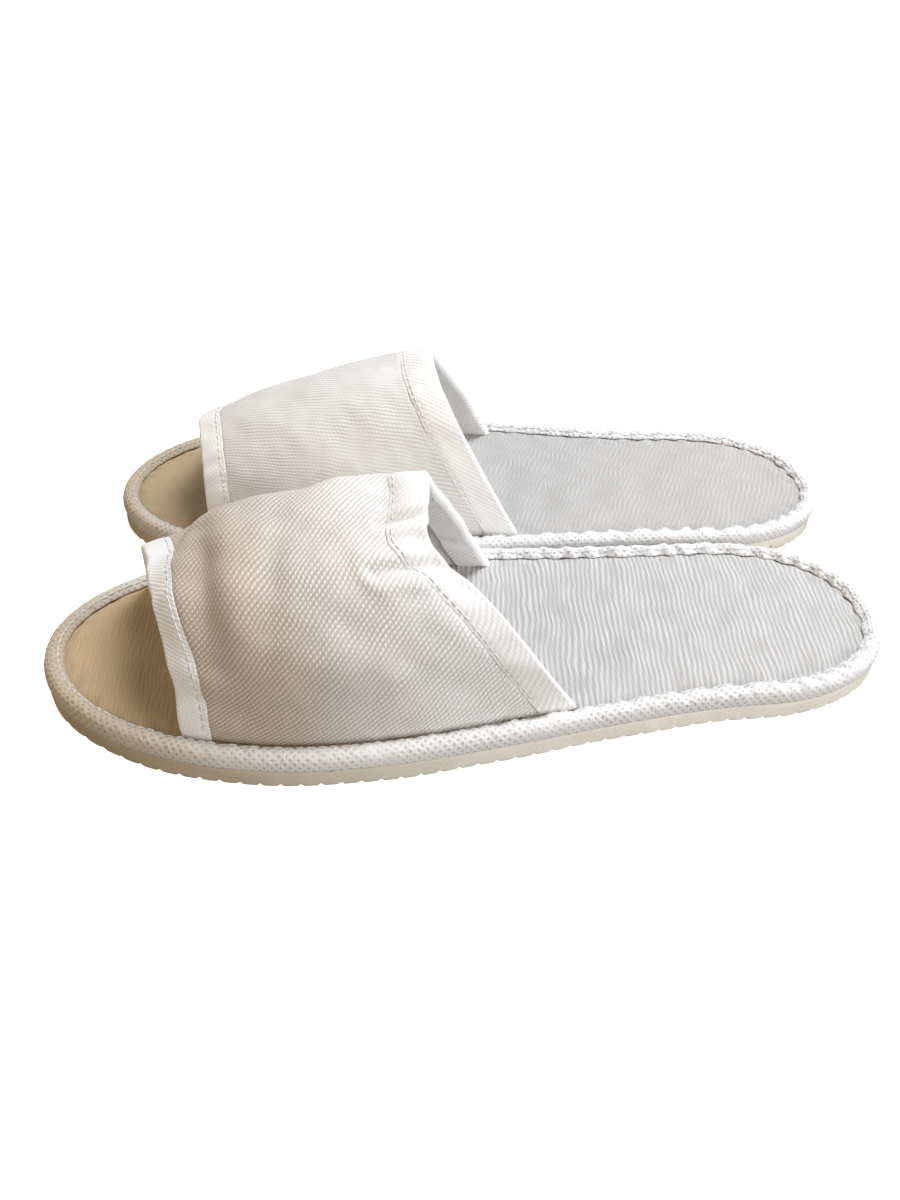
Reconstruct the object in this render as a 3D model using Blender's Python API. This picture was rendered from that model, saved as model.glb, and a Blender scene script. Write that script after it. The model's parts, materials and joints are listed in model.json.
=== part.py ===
"""A pair of open-toe spa slippers, each made of a foam outsole, a bound insole and a padded fabric upper.

Each slipper is modelled in its own frame: the toe's tip is at x = 0, the heel at x = SOLE_LENGTH, y grows
towards the wearer's other foot, and z = 0 is the floor. The right slipper is the left one mirrored. The pair
stands with its bounding box centred on the world's origin, with both toes towards -X.
"""

import math

import bmesh
import bpy
import numpy as np
from mathutils import Matrix, Vector

# Sole outline, in metres. "Outer" is the little toe's side and "inner" the big toe's side.
SOLE_LENGTH = 0.285
BALL_OUTER = 0.0594  # widest half widths, at the ball of the foot
BALL_INNER = 0.0480
TOE_ROUND_OUTER = 0.092  # length of the toe's curve, from its tip to the widest place
TOE_ROUND_INNER = 0.070
HEEL_OUTER = 0.0437
HEEL_INNER = 0.0420
HEEL_ROUND = 0.055
HEEL_SQUARENESS = 2.2  # 2 is an ellipse, more is squarer

# Sole layers, from the floor up.
GAP = 0.0003  # clearance between pieces that touch
OUTSOLE_THICKNESS = 0.0060
BOARD_THICKNESS = 0.0009
FOAM_THICKNESS = 0.0016
COVER_THICKNESS = 0.0007

# Tread: V grooves across the underside of the outsole.
GROOVE_PITCH = 0.006
GROOVE_WIDTH = 0.0020
GROOVE_DEPTH = 0.0010
GROOVE_END_MARGIN = 0.004

# Fabric binding around the insole's edge, with a domed lip over the cover.
BINDING_WALL = 0.0018
BINDING_REACH = 0.0056
BINDING_CROWN = 0.0014
BINDING_STITCH_INSET = 0.0044

# The sole bends about a line across it, behind the upper.
FLEX_X = 0.180
FLEX_GAP = 0.0006
FLEX_DOWN = 8.0  # degrees that the heel can drop, which sets how far the two cut faces lean apart

# Upper: where its feet and its crest stand along the sole, at the toe's opening and at the instep.
TOE_EDGE_OUTER = 0.047
TOE_EDGE_INNER = 0.030
TOE_EDGE_CREST = 0.036
INSTEP_EDGE_OUTER = 0.167
INSTEP_EDGE_INNER = 0.152
INSTEP_EDGE_CREST = 0.123
TOE_CREST_HEIGHT = 0.044
INSTEP_CREST_HEIGHT = 0.072
UPPER_BULGE = 0.007

# Upper layers, and the fabric bands folded over its two open edges.
OUTER_FABRIC = 0.0006
UPPER_FOAM = 0.0010
LINING_FABRIC = 0.0005
HEM_FABRIC = 0.0006
TOE_HEM_WIDTH = 0.009
INSTEP_HEM_WIDTH = 0.0115
HEM_STITCH_MARGIN = 0.0015  # from the hem's inner edge to its stitch line
HEM_STITCH_START = 0.0055  # height above the upper's feet, clear of the binding

THREAD = 0.0007  # diameter of the sewing thread

# How the pair stands.
PAIR_GAP = 0.001
PAIR_STAGGER = 0.0136
RIGHT_TURN = -3.1  # degrees about +Z

# How finely curves are cut into straight pieces.
TOE_STEPS = 14
TAPER_STEPS = 9
HEEL_STEPS = 11
CROWN_STEPS = 6
ARCH_STEPS = 2 * round(INSTEP_CREST_HEIGHT / 0.006)  # a taller arch is cut finer, so that its layers stay apart
BODY_STATIONS = (0.25, 0.5, 0.75)
THREAD_SIDES = 5

# Heights and insets that follow from the sizes above.
BOARD_Z = OUTSOLE_THICKNESS + GAP
FOAM_Z = BOARD_Z + BOARD_THICKNESS + GAP
COVER_Z = FOAM_Z + FOAM_THICKNESS + GAP
LIP_Z = COVER_Z + COVER_THICKNESS + GAP
LAYER_INSET = BINDING_WALL + GAP
UPPER_INSET = BINDING_REACH + GAP + HEM_FABRIC + GAP
FLEX_Z = LIP_Z + BINDING_CROWN + GAP + THREAD
HEM_NOSE = HEM_FABRIC + GAP
FOAM_DEPTH = OUTER_FABRIC + GAP
LINING_DEPTH = FOAM_DEPTH + UPPER_FOAM + GAP
INNER_LEG_DEPTH = LINING_DEPTH + LINING_FABRIC + GAP


def clear_scene():
    """Removes every object, so that the script gives the same result wherever it runs."""
    for item in list(bpy.data.objects):
        bpy.data.objects.remove(item)


def smoothstep(t):
    return t * t * (3 - 2 * t)


def side_points(ball, toe_round, heel):
    """(x, half width) along one side of the sole, from the toe's tip to the heel's tip."""
    heel_start = SOLE_LENGTH - HEEL_ROUND
    points = []
    for angle in np.linspace(0, math.pi / 2, TOE_STEPS + 1):
        points.append((toe_round * (1 - math.cos(angle)), ball * math.sin(angle)))
    for t in np.linspace(0, 1, TAPER_STEPS + 1)[1:-1]:
        points.append((toe_round + (heel_start - toe_round) * t, ball + (heel - ball) * smoothstep(t)))
    power = 2 / HEEL_SQUARENESS
    for angle in np.linspace(0, math.pi / 2, HEEL_STEPS + 1):
        along = max(0.0, math.sin(angle)) ** power
        across = max(0.0, math.cos(angle)) ** power
        points.append((heel_start + HEEL_ROUND * along, heel * across))
    return np.array(points)


def outline():
    """The sole's closed outline, counterclockwise from the toe's tip: first the outer side, then the inner."""
    outer = side_points(BALL_OUTER, TOE_ROUND_OUTER, HEEL_OUTER) * (1, -1)
    inner = side_points(BALL_INNER, TOE_ROUND_INNER, HEEL_INNER)
    return np.concatenate([outer, inner[-2:0:-1]])


def inset_outline(distance):
    """The outline moved inwards along its normals."""
    points = outline()
    along = np.roll(points, -1, axis=0) - np.roll(points, 1, axis=0)
    along /= np.linalg.norm(along, axis=1, keepdims=True)
    inwards = np.stack([-along[:, 1], along[:, 0]], axis=1)
    return points + inwards * distance


def side_curve(points, outer):
    """The part of a closed outline on one side, with x growing, for reading y at any x."""
    side = points[points[:, 1] <= 0] if outer else points[points[:, 1] >= 0]
    return side[np.argsort(side[:, 0])]


UPPER_RAILS = {
    "outer": side_curve(inset_outline(UPPER_INSET), outer=True),
    "inner": side_curve(inset_outline(UPPER_INSET), outer=False),
}


def finish_mesh(bm, name):
    """Turns every face outwards and hands the bmesh over as a mesh."""
    bmesh.ops.recalc_face_normals(bm, faces=bm.faces)
    mesh = bpy.data.meshes.new(name)
    bm.to_mesh(mesh)
    bm.free()
    return mesh


def slab(distance, bottom, thickness):
    """A flat layer inside the outline, whose top and bottom are strips across the sole."""
    bm = bmesh.new()
    loops = []
    for z in (bottom, bottom + thickness):
        loops.append([bm.verts.new((x, y, z)) for x, y in inset_outline(distance)])
    count = len(loops[0])
    for i in range(count):
        j = (i + 1) % count
        bm.faces.new((loops[0][i], loops[0][j], loops[1][j], loops[1][i]))
    for loop in loops:
        for i in range(count // 2):
            corners = [loop[i], loop[i + 1], loop[-i - 1], loop[-i]]
            bm.faces.new(list(dict.fromkeys(corners)))
    return bm


def ring(profile):
    """A closed ring around the sole. profile is a closed list of (inset from the outline, height)."""
    bm = bmesh.new()
    loops = []
    for distance, z in profile:
        loops.append([bm.verts.new((x, y, z)) for x, y in inset_outline(distance)])
    count = len(loops[0])
    for this, after in zip(loops, loops[1:] + loops[:1]):
        for i in range(count):
            j = (i + 1) % count
            bm.faces.new((this[i], this[j], after[j], after[i]))
    return bm


def flex_half(bm, front):
    """A copy of a sole piece cut off at the flex line, with the cut closed."""
    half = bm.copy()
    side = 1 if front else -1
    bmesh.ops.bisect_plane(
        half,
        geom=half.verts[:] + half.edges[:] + half.faces[:],
        plane_co=(FLEX_X - side * FLEX_GAP / 2, 0, FLEX_Z),
        plane_no=(side, 0, -math.tan(math.radians(FLEX_DOWN / 2))),
        clear_outer=True,
    )
    open_edges = [edge for edge in half.edges if edge.is_boundary]
    bmesh.ops.edgeloop_fill(half, edges=open_edges)
    return half


def circle_profile(centre, diameter):
    """Corners of a thread's round section, as (first, second) coordinates around centre."""
    radius = diameter / 2
    turns = [2 * math.pi * k / THREAD_SIDES for k in range(THREAD_SIDES)]
    return [(centre[0] + radius * math.cos(a), centre[1] + radius * math.sin(a)) for a in turns]


def binding_profile():
    """Hook section: a wall beside the insole's layers and a domed lip over the cover's edge."""
    half = BINDING_REACH / 2
    points = [(0.0, BOARD_Z)]
    for angle in np.linspace(0, math.pi, CROWN_STEPS + 1):
        points.append((half * (1 - math.cos(angle)), LIP_Z + BINDING_CROWN * math.sin(angle)))
    return points + [(BINDING_WALL, LIP_Z), (BINDING_WALL, BOARD_Z)]


def binding_thread_centre():
    """Where the binding's stitching lies: just above the domed lip, near its inner edge."""
    half = BINDING_REACH / 2
    rise = math.sqrt(1 - (BINDING_STITCH_INSET / half - 1) ** 2)
    return BINDING_STITCH_INSET, LIP_Z + BINDING_CROWN * rise + GAP + THREAD / 2


def upper_point(u, v):
    """A point of the upper's outer face: u runs from the toe's edge to the instep's, v from the outer foot
    over the crest to the inner foot. Each section is half an ellipse on each side of the crest."""
    side = "outer" if v < 0.5 else "inner"
    toe_foot = TOE_EDGE_OUTER if v < 0.5 else TOE_EDGE_INNER
    instep_foot = INSTEP_EDGE_OUTER if v < 0.5 else INSTEP_EDGE_INNER
    foot_x = toe_foot + (instep_foot - toe_foot) * u
    crest_x = TOE_EDGE_CREST + (INSTEP_EDGE_CREST - TOE_EDGE_CREST) * u
    crest_z = TOE_CREST_HEIGHT + (INSTEP_CREST_HEIGHT - TOE_CREST_HEIGHT) * u
    crest_z += UPPER_BULGE * math.sin(math.pi * u)
    rail = UPPER_RAILS[side]
    foot_y = np.interp(foot_x, rail[:, 0], rail[:, 1])
    rise = math.sin(math.pi * v)
    spread = abs(math.cos(math.pi * v))
    return Vector((foot_x + (crest_x - foot_x) * rise, foot_y * spread, LIP_Z + (crest_z - LIP_Z) * rise))


def upper_normal(u, v):
    """The outward normal of the upper, level at its feet, so that every layer ends at the same height."""
    step = 0.001
    along = upper_point(u + step, v) - upper_point(u - step, v)
    around = upper_point(u, v + step) - upper_point(u, v - step)
    normal = along.cross(around)
    if v in (0.0, 1.0):
        normal.z = 0.0
    return normal.normalized()


def station(place, v):
    """The u of a place given as (edge, distance from it), or as ("body", share of the way between hems)."""
    length = (upper_point(1, v) - upper_point(0, v)).length
    edge, value = place
    if edge == "toe":
        return value / length
    if edge == "instep":
        return 1 - value / length
    start = TOE_HEM_WIDTH / length
    end = 1 - INSTEP_HEM_WIDTH / length
    return start + (end - start) * value


def upper_sweep(profile, start=0.0):
    """A closed body that runs over the foot from one foot of the upper to the other, or from start to
    1 - start. profile is a closed list of (place along the upper, depth below its outer face)."""
    bm = bmesh.new()
    rows = []
    steps = np.linspace(0, 1, ARCH_STEPS + 1)
    between = [v for v in steps if start < v < 1 - start]
    for v in [start, *between, 1 - start]:
        row = []
        for place, depth in profile:
            u = station(place, v)
            row.append(bm.verts.new(upper_point(u, v) - upper_normal(u, v) * depth))
        rows.append(row)
    count = len(profile)
    for this, after in zip(rows, rows[1:]):
        for i in range(count):
            j = (i + 1) % count
            bm.faces.new((this[i], this[j], after[j], after[i]))
    bm.faces.new(rows[0])
    bm.faces.new(rows[-1])
    return bm


def layer_profile(depth, thickness):
    """A layer of the upper, from one hem's nose to the other's."""
    places = [("toe", HEM_NOSE), ("toe", TOE_HEM_WIDTH / 2), ("toe", TOE_HEM_WIDTH)]
    places += [("body", share) for share in BODY_STATIONS]
    places += [("instep", INSTEP_HEM_WIDTH), ("instep", INSTEP_HEM_WIDTH / 2), ("instep", HEM_NOSE)]
    outside = [(place, depth) for place in places]
    inside = [(place, depth + thickness) for place in reversed(places)]
    return outside + inside


def hem_profile(edge, width):
    """A band folded over one open edge of the upper, with a leg outside and a leg inside."""
    top = -GAP - HEM_FABRIC
    bottom = INNER_LEG_DEPTH + HEM_FABRIC
    outer_leg = [(width, -GAP), (width, top), (width / 2, top), (HEM_NOSE, top), (0, -GAP)]
    inner_leg = [(0, INNER_LEG_DEPTH), (HEM_NOSE, bottom), (width / 2, bottom), (width, bottom)]
    fold = [(width, INNER_LEG_DEPTH), (width / 2, INNER_LEG_DEPTH), (HEM_FABRIC, INNER_LEG_DEPTH)]
    fold += [(HEM_FABRIC, -GAP), (width / 2, -GAP)]
    return [((edge, distance), depth) for distance, depth in outer_leg + inner_leg + fold]


def hem_thread(edge, width, crest_height):
    """A thread lying on the hem's outer leg, from just above the binding on one side to the other."""
    centre = (width - HEM_STITCH_MARGIN, -GAP - HEM_FABRIC - GAP - THREAD / 2)
    profile = [((edge, distance), depth) for distance, depth in circle_profile(centre, THREAD)]
    return upper_sweep(profile, math.asin(HEM_STITCH_START / (crest_height - LIP_Z)) / math.pi)


def tread_cutter():
    """Prisms that cut the grooves, spaced so that none falls on the flex line."""
    bm = bmesh.new()
    half = GROOVE_WIDTH / 2
    reach = BALL_OUTER + BALL_INNER
    first = math.ceil((GROOVE_END_MARGIN - FLEX_X) / GROOVE_PITCH - 0.5)
    last = math.floor((SOLE_LENGTH - GROOVE_END_MARGIN - FLEX_X) / GROOVE_PITCH - 0.5)
    for k in range(first, last + 1):
        x = FLEX_X + (k + 0.5) * GROOVE_PITCH
        section = [(x - 2 * half, -GROOVE_DEPTH), (x + 2 * half, -GROOVE_DEPTH), (x, GROOVE_DEPTH)]
        ends = [[bm.verts.new((px, y, pz)) for px, pz in section] for y in (-reach, reach)]
        bm.faces.new(ends[0])
        bm.faces.new(ends[1])
        for i in range(3):
            j = (i + 1) % 3
            bm.faces.new((ends[0][i], ends[0][j], ends[1][j], ends[1][i]))
    return bm


def pair_spacing():
    """The distance between the two slippers' long axes at the toes that leaves PAIR_GAP between the soles."""
    left = side_curve(outline(), outer=False)
    turn = math.radians(RIGHT_TURN)
    mirrored = left * (1, -1)
    x = mirrored[:, 0] * math.cos(turn) - mirrored[:, 1] * math.sin(turn) + PAIR_STAGGER
    y = mirrored[:, 0] * math.sin(turn) + mirrored[:, 1] * math.cos(turn)
    shared = np.linspace(max(left[0, 0], x.min()), min(left[-1, 0], x.max()), 400)
    overlap = np.interp(shared, left[:, 0], left[:, 1]) - np.interp(shared, x, y)
    return overlap.max() + PAIR_GAP


def placements():
    """{slipper: (matrix of its frame, whether it is mirrored)}, with the pair centred on the origin."""
    turn = Matrix.Rotation(math.radians(RIGHT_TURN), 4, "Z")
    frames = {
        "left": Matrix.Identity(4),
        "right": Matrix.Translation((PAIR_STAGGER, pair_spacing(), 0)) @ turn,
    }
    corners = []
    for side, frame in frames.items():
        flip = -1 if side == "right" else 1
        corners += [frame @ Vector((x, flip * y, 0)) for x, y in outline()]
    spans = np.array([corner[:2] for corner in corners])
    middle = (spans.min(axis=0) + spans.max(axis=0)) / 2
    centring = Matrix.Translation((-middle[0], -middle[1], 0))
    return {side: (centring @ frame, side == "right") for side, frame in frames.items()}


def material(name, colour, roughness):
    """A Principled material, found again by its name when it exists."""
    made = bpy.data.materials.get(name) or bpy.data.materials.new(name)
    made.use_nodes = True
    shader = made.node_tree.nodes["Principled BSDF"]
    shader.inputs["Base Color"].default_value = (*colour, 1.0)
    shader.inputs["Roughness"].default_value = roughness
    shader.inputs["Metallic"].default_value = 0.0
    made.diffuse_color = (*colour, 1.0)
    return made


FINISHES = {
    "outsole": ((0.68, 0.64, 0.53), 0.75),
    "insole_board": ((0.45, 0.36, 0.24), 0.85),
    "insole_foam": ((0.82, 0.80, 0.70), 0.95),
    "insole_cover": ((0.86, 0.85, 0.83), 0.92),
    "edge_binding": ((0.88, 0.87, 0.84), 0.9),
    "upper_outer": ((0.90, 0.90, 0.89), 0.9),
    "upper_foam": ((0.84, 0.82, 0.72), 0.95),
    "upper_lining": ((0.86, 0.86, 0.84), 0.9),
    "hem": ((0.91, 0.91, 0.90), 0.9),
    "thread": ((0.93, 0.93, 0.92), 0.6),
}


def add_empty(name, matrix, parent=None):
    """An empty that carries a body's pieces. matrix is in the parent's frame."""
    empty = bpy.data.objects.new(name, None)
    bpy.context.scene.collection.objects.link(empty)
    empty.parent = parent
    empty.matrix_local = matrix
    return empty


def add_piece(name, bm, finish, parent, pivot, mirrored):
    """One named object from a bmesh in the slipper's frame. pivot is where its parent stands in that frame."""
    bmesh.ops.translate(bm, vec=-pivot, verts=bm.verts)
    if mirrored:
        bmesh.ops.scale(bm, vec=(1, -1, 1), verts=bm.verts)
    piece = bpy.data.objects.new(name, finish_mesh(bm, name))
    piece.data.materials.append(material(finish, *FINISHES[finish]))
    bpy.context.scene.collection.objects.link(piece)
    piece.parent = parent
    return piece


def add_tread(piece, cutter):
    """Cuts the grooves into half of an outsole."""
    cut = piece.modifiers.new("tread", "BOOLEAN")
    cut.operation = "DIFFERENCE"
    cut.solver = "EXACT"
    cut.object = cutter


def sole_bodies():
    """{piece: (whole body, finish)} of everything that bends with the sole."""
    return {
        "outsole": (slab(0.0, 0.0, OUTSOLE_THICKNESS), "outsole"),
        "insole_board": (slab(LAYER_INSET, BOARD_Z, BOARD_THICKNESS), "insole_board"),
        "insole_foam": (slab(LAYER_INSET, FOAM_Z, FOAM_THICKNESS), "insole_foam"),
        "insole_cover": (slab(LAYER_INSET, COVER_Z, COVER_THICKNESS), "insole_cover"),
        "edge_binding": (ring(binding_profile()), "edge_binding"),
        "binding_thread": (ring(circle_profile(binding_thread_centre(), THREAD)), "thread"),
    }


def upper_bodies():
    """{piece: (body, finish)} of the fixed upper."""
    return {
        "upper_outer": (upper_sweep(layer_profile(0.0, OUTER_FABRIC)), "upper_outer"),
        "upper_foam": (upper_sweep(layer_profile(FOAM_DEPTH, UPPER_FOAM)), "upper_foam"),
        "upper_lining": (upper_sweep(layer_profile(LINING_DEPTH, LINING_FABRIC)), "upper_lining"),
        "toe_hem": (upper_sweep(hem_profile("toe", TOE_HEM_WIDTH)), "hem"),
        "instep_hem": (upper_sweep(hem_profile("instep", INSTEP_HEM_WIDTH)), "hem"),
        "toe_hem_thread": (hem_thread("toe", TOE_HEM_WIDTH, TOE_CREST_HEIGHT), "thread"),
        "instep_hem_thread": (hem_thread("instep", INSTEP_HEM_WIDTH, INSTEP_CREST_HEIGHT), "thread"),
    }


def build_slipper(side, frame, mirrored):
    """One slipper: the forefoot's pieces hang on its frame and the heel's pieces on the flex line."""
    forefoot = add_empty(side + "_forefoot_frame", frame)
    pivot = Vector((FLEX_X, 0, FLEX_Z))
    heel = add_empty(side + "_heel_frame", Matrix.Translation(pivot), forefoot)
    cutter = add_piece(side + "_tread_cutter", tread_cutter(), "outsole", forefoot, Vector(), mirrored)
    cutter.hide_render = True
    cutter.display_type = "WIRE"
    for piece, (bm, finish) in sole_bodies().items():
        front = f"{side}_{piece}_front"
        back = f"{side}_{piece}_heel"
        halves = [
            add_piece(front, flex_half(bm, front=True), finish, forefoot, Vector(), mirrored),
            add_piece(back, flex_half(bm, front=False), finish, heel, pivot, mirrored),
        ]
        bm.free()
        if piece == "outsole":
            for half in halves:
                add_tread(half, cutter)
    for piece, (bm, finish) in upper_bodies().items():
        add_piece(f"{side}_{piece}", bm, finish, forefoot, Vector(), mirrored)


def main():
    clear_scene()
    for side, (frame, mirrored) in placements().items():
        build_slipper(side, frame, mirrored)


main()
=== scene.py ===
"""Looks for a pair of open-toe spa slippers: foam outsoles, bound ribbed insoles and padded cloth uppers.

Every slipper is shaped in its own frame, in metres: the toe's tip is at x = 0, the heel at x = length, y grows
towards the wearer's other foot and z = 0 is the floor. The right slipper is shaped as a left one and mirrored.
"""

import json
import logging
import math
from dataclasses import dataclass
from enum import Enum

import bmesh
import bpy
import numpy as np
from mathutils import Matrix, Vector


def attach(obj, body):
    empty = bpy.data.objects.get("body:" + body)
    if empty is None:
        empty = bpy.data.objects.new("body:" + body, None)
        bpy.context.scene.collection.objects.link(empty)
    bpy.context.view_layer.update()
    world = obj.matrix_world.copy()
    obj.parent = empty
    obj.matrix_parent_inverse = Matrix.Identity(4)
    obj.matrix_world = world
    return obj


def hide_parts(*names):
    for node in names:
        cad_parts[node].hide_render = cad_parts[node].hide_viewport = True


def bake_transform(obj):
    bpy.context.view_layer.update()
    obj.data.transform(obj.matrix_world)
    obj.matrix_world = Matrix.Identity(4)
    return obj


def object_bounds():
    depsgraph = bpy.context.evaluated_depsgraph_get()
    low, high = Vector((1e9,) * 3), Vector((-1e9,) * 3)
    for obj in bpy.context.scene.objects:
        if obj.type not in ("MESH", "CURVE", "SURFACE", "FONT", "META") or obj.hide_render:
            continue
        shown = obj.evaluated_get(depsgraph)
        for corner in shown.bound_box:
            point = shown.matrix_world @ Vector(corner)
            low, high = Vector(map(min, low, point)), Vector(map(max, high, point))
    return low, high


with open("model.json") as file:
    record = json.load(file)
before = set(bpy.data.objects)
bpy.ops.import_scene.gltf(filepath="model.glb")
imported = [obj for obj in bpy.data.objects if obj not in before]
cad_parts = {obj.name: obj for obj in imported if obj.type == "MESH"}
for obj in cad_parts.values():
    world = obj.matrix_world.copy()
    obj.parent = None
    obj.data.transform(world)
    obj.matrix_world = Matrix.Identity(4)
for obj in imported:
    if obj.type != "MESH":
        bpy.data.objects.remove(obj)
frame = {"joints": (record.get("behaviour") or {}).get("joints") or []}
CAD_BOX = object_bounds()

LOG = logging.getLogger("spa_slippers")
MM = 0.001
CLOTH = "cloth"  # the UV map that holds each piece's place on its own cloth, in metres
PAINTED_SHADE_ATTRIBUTE = "tone"  # the attribute that holds the painted shade of each place of a sheet, darker between ribs and in folds


# ---------------------------------------------------------------- sums on arrays


def smoothstep(low: float, high: float, value: np.ndarray) -> np.ndarray:
    """A soft step from 0 at low to 1 at high.

    Args:
        low: where the step starts.
        high: where it ends.
        value: the places asked for.

    Returns:
        The step's height at each place.
    """
    t = np.clip((np.asarray(value, float) - low) / (high - low), 0.0, 1.0)
    return t * t * (3.0 - 2.0 * t)


def hump(value: np.ndarray, centre: float, width: float) -> np.ndarray:
    """A smooth hump of height 1 around centre, that fades over width.

    Args:
        value: the places asked for.
        centre: the middle of the hump.
        width: how far from the middle it has faded to about a third.

    Returns:
        The hump's height at each place.
    """
    return np.exp(-(((np.asarray(value, float) - centre) / width) ** 2))


def unit(vectors: np.ndarray) -> np.ndarray:
    """The same directions with length 1."""
    return vectors / np.maximum(np.linalg.norm(vectors, axis=-1, keepdims=True), 1e-12)


def between(ends: tuple[float, float], share: np.ndarray) -> np.ndarray:
    """Goes straight from the first end to the second."""
    return ends[0] + (ends[1] - ends[0]) * share


def distances(path: np.ndarray) -> np.ndarray:
    """How far each point of a path is from its first, along the path."""
    return np.concatenate([[0.0], np.cumsum(np.linalg.norm(np.diff(path, axis=0), axis=1))])


class Ripple:
    """Soft, repeatable unevenness over a flat cloth: a sum of waves in many directions."""

    def __init__(self, seed: int, wavelength: float, count: int = 14) -> None:
        """Draws the waves.

        Args:
            seed: which unevenness this is.
            wavelength: the usual distance between two rises.
            count: how many waves are added.
        """
        draw = np.random.default_rng(seed)
        turn = draw.uniform(0, 2 * math.pi, count)
        length = wavelength * draw.uniform(0.6, 1.7, count)
        self.kx = 2 * math.pi * np.cos(turn) / length
        self.ky = 2 * math.pi * np.sin(turn) / length
        self.phase = draw.uniform(0, 2 * math.pi, count)
        self.scale = math.sqrt(2.0 / count)

    def at(self, x: np.ndarray, y: np.ndarray) -> np.ndarray:
        """The unevenness at each place, mostly between -1 and 1.

        Args:
            x: first cloth coordinate.
            y: second cloth coordinate.

        Returns:
            One height for each place.
        """
        x, y = np.broadcast_arrays(np.asarray(x, float), np.asarray(y, float))
        total = np.zeros(x.shape)
        for kx, ky, phase in zip(self.kx, self.ky, self.phase):
            total += np.sin(kx * x + ky * y + phase)
        return total * self.scale


# ---------------------------------------------------------------- shader values


class Wire:
    """A number that varies over a surface, usable in sums. Each sum adds its Math node."""

    def __init__(self, bench: "Bench", socket: bpy.types.NodeSocket) -> None:
        """Wraps an output socket of the bench's material."""
        self.bench = bench
        self.socket = socket

    def _math(self, operation: str, first: object, second: object = 0.0) -> "Wire":
        """Adds one Math node and wraps its result."""
        return self.bench.add("ShaderNodeMath", {"operation": operation}, {0: first, 1: second})

    def __add__(self, other: object) -> "Wire":
        """self + other."""
        return self._math("ADD", self, other)

    def __radd__(self, other: object) -> "Wire":
        """other + self."""
        return self._math("ADD", other, self)

    def __sub__(self, other: object) -> "Wire":
        """self - other."""
        return self._math("SUBTRACT", self, other)

    def __rsub__(self, other: object) -> "Wire":
        """other - self."""
        return self._math("SUBTRACT", other, self)

    def __mul__(self, other: object) -> "Wire":
        """self * other."""
        return self._math("MULTIPLY", self, other)

    def __rmul__(self, other: object) -> "Wire":
        """other * self."""
        return self._math("MULTIPLY", other, self)

    def __pow__(self, other: object) -> "Wire":
        """self to the power of other."""
        return self._math("POWER", self, other)

    def wave(self) -> "Wire":
        """A wave between 0 and 1 that repeats every 1 of this value, with its crest at 0."""
        return self._math("COSINE", self * (2 * math.pi)) * 0.5 + 0.5

    def highest(self, other: object) -> "Wire":
        """The larger of two values."""
        return self._math("MAXIMUM", self, other)

    def step(self, low: float, high: float) -> "Wire":
        """A soft step: 0 at low, 1 at high."""
        return self.bench.add(
            "ShaderNodeMapRange",
            {"interpolation_type": "SMOOTHSTEP"},
            {"Value": self, "From Min": low, "From Max": high, "To Min": 0.0, "To Max": 1.0},
        )


Colour = tuple[float, float, float]


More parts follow.
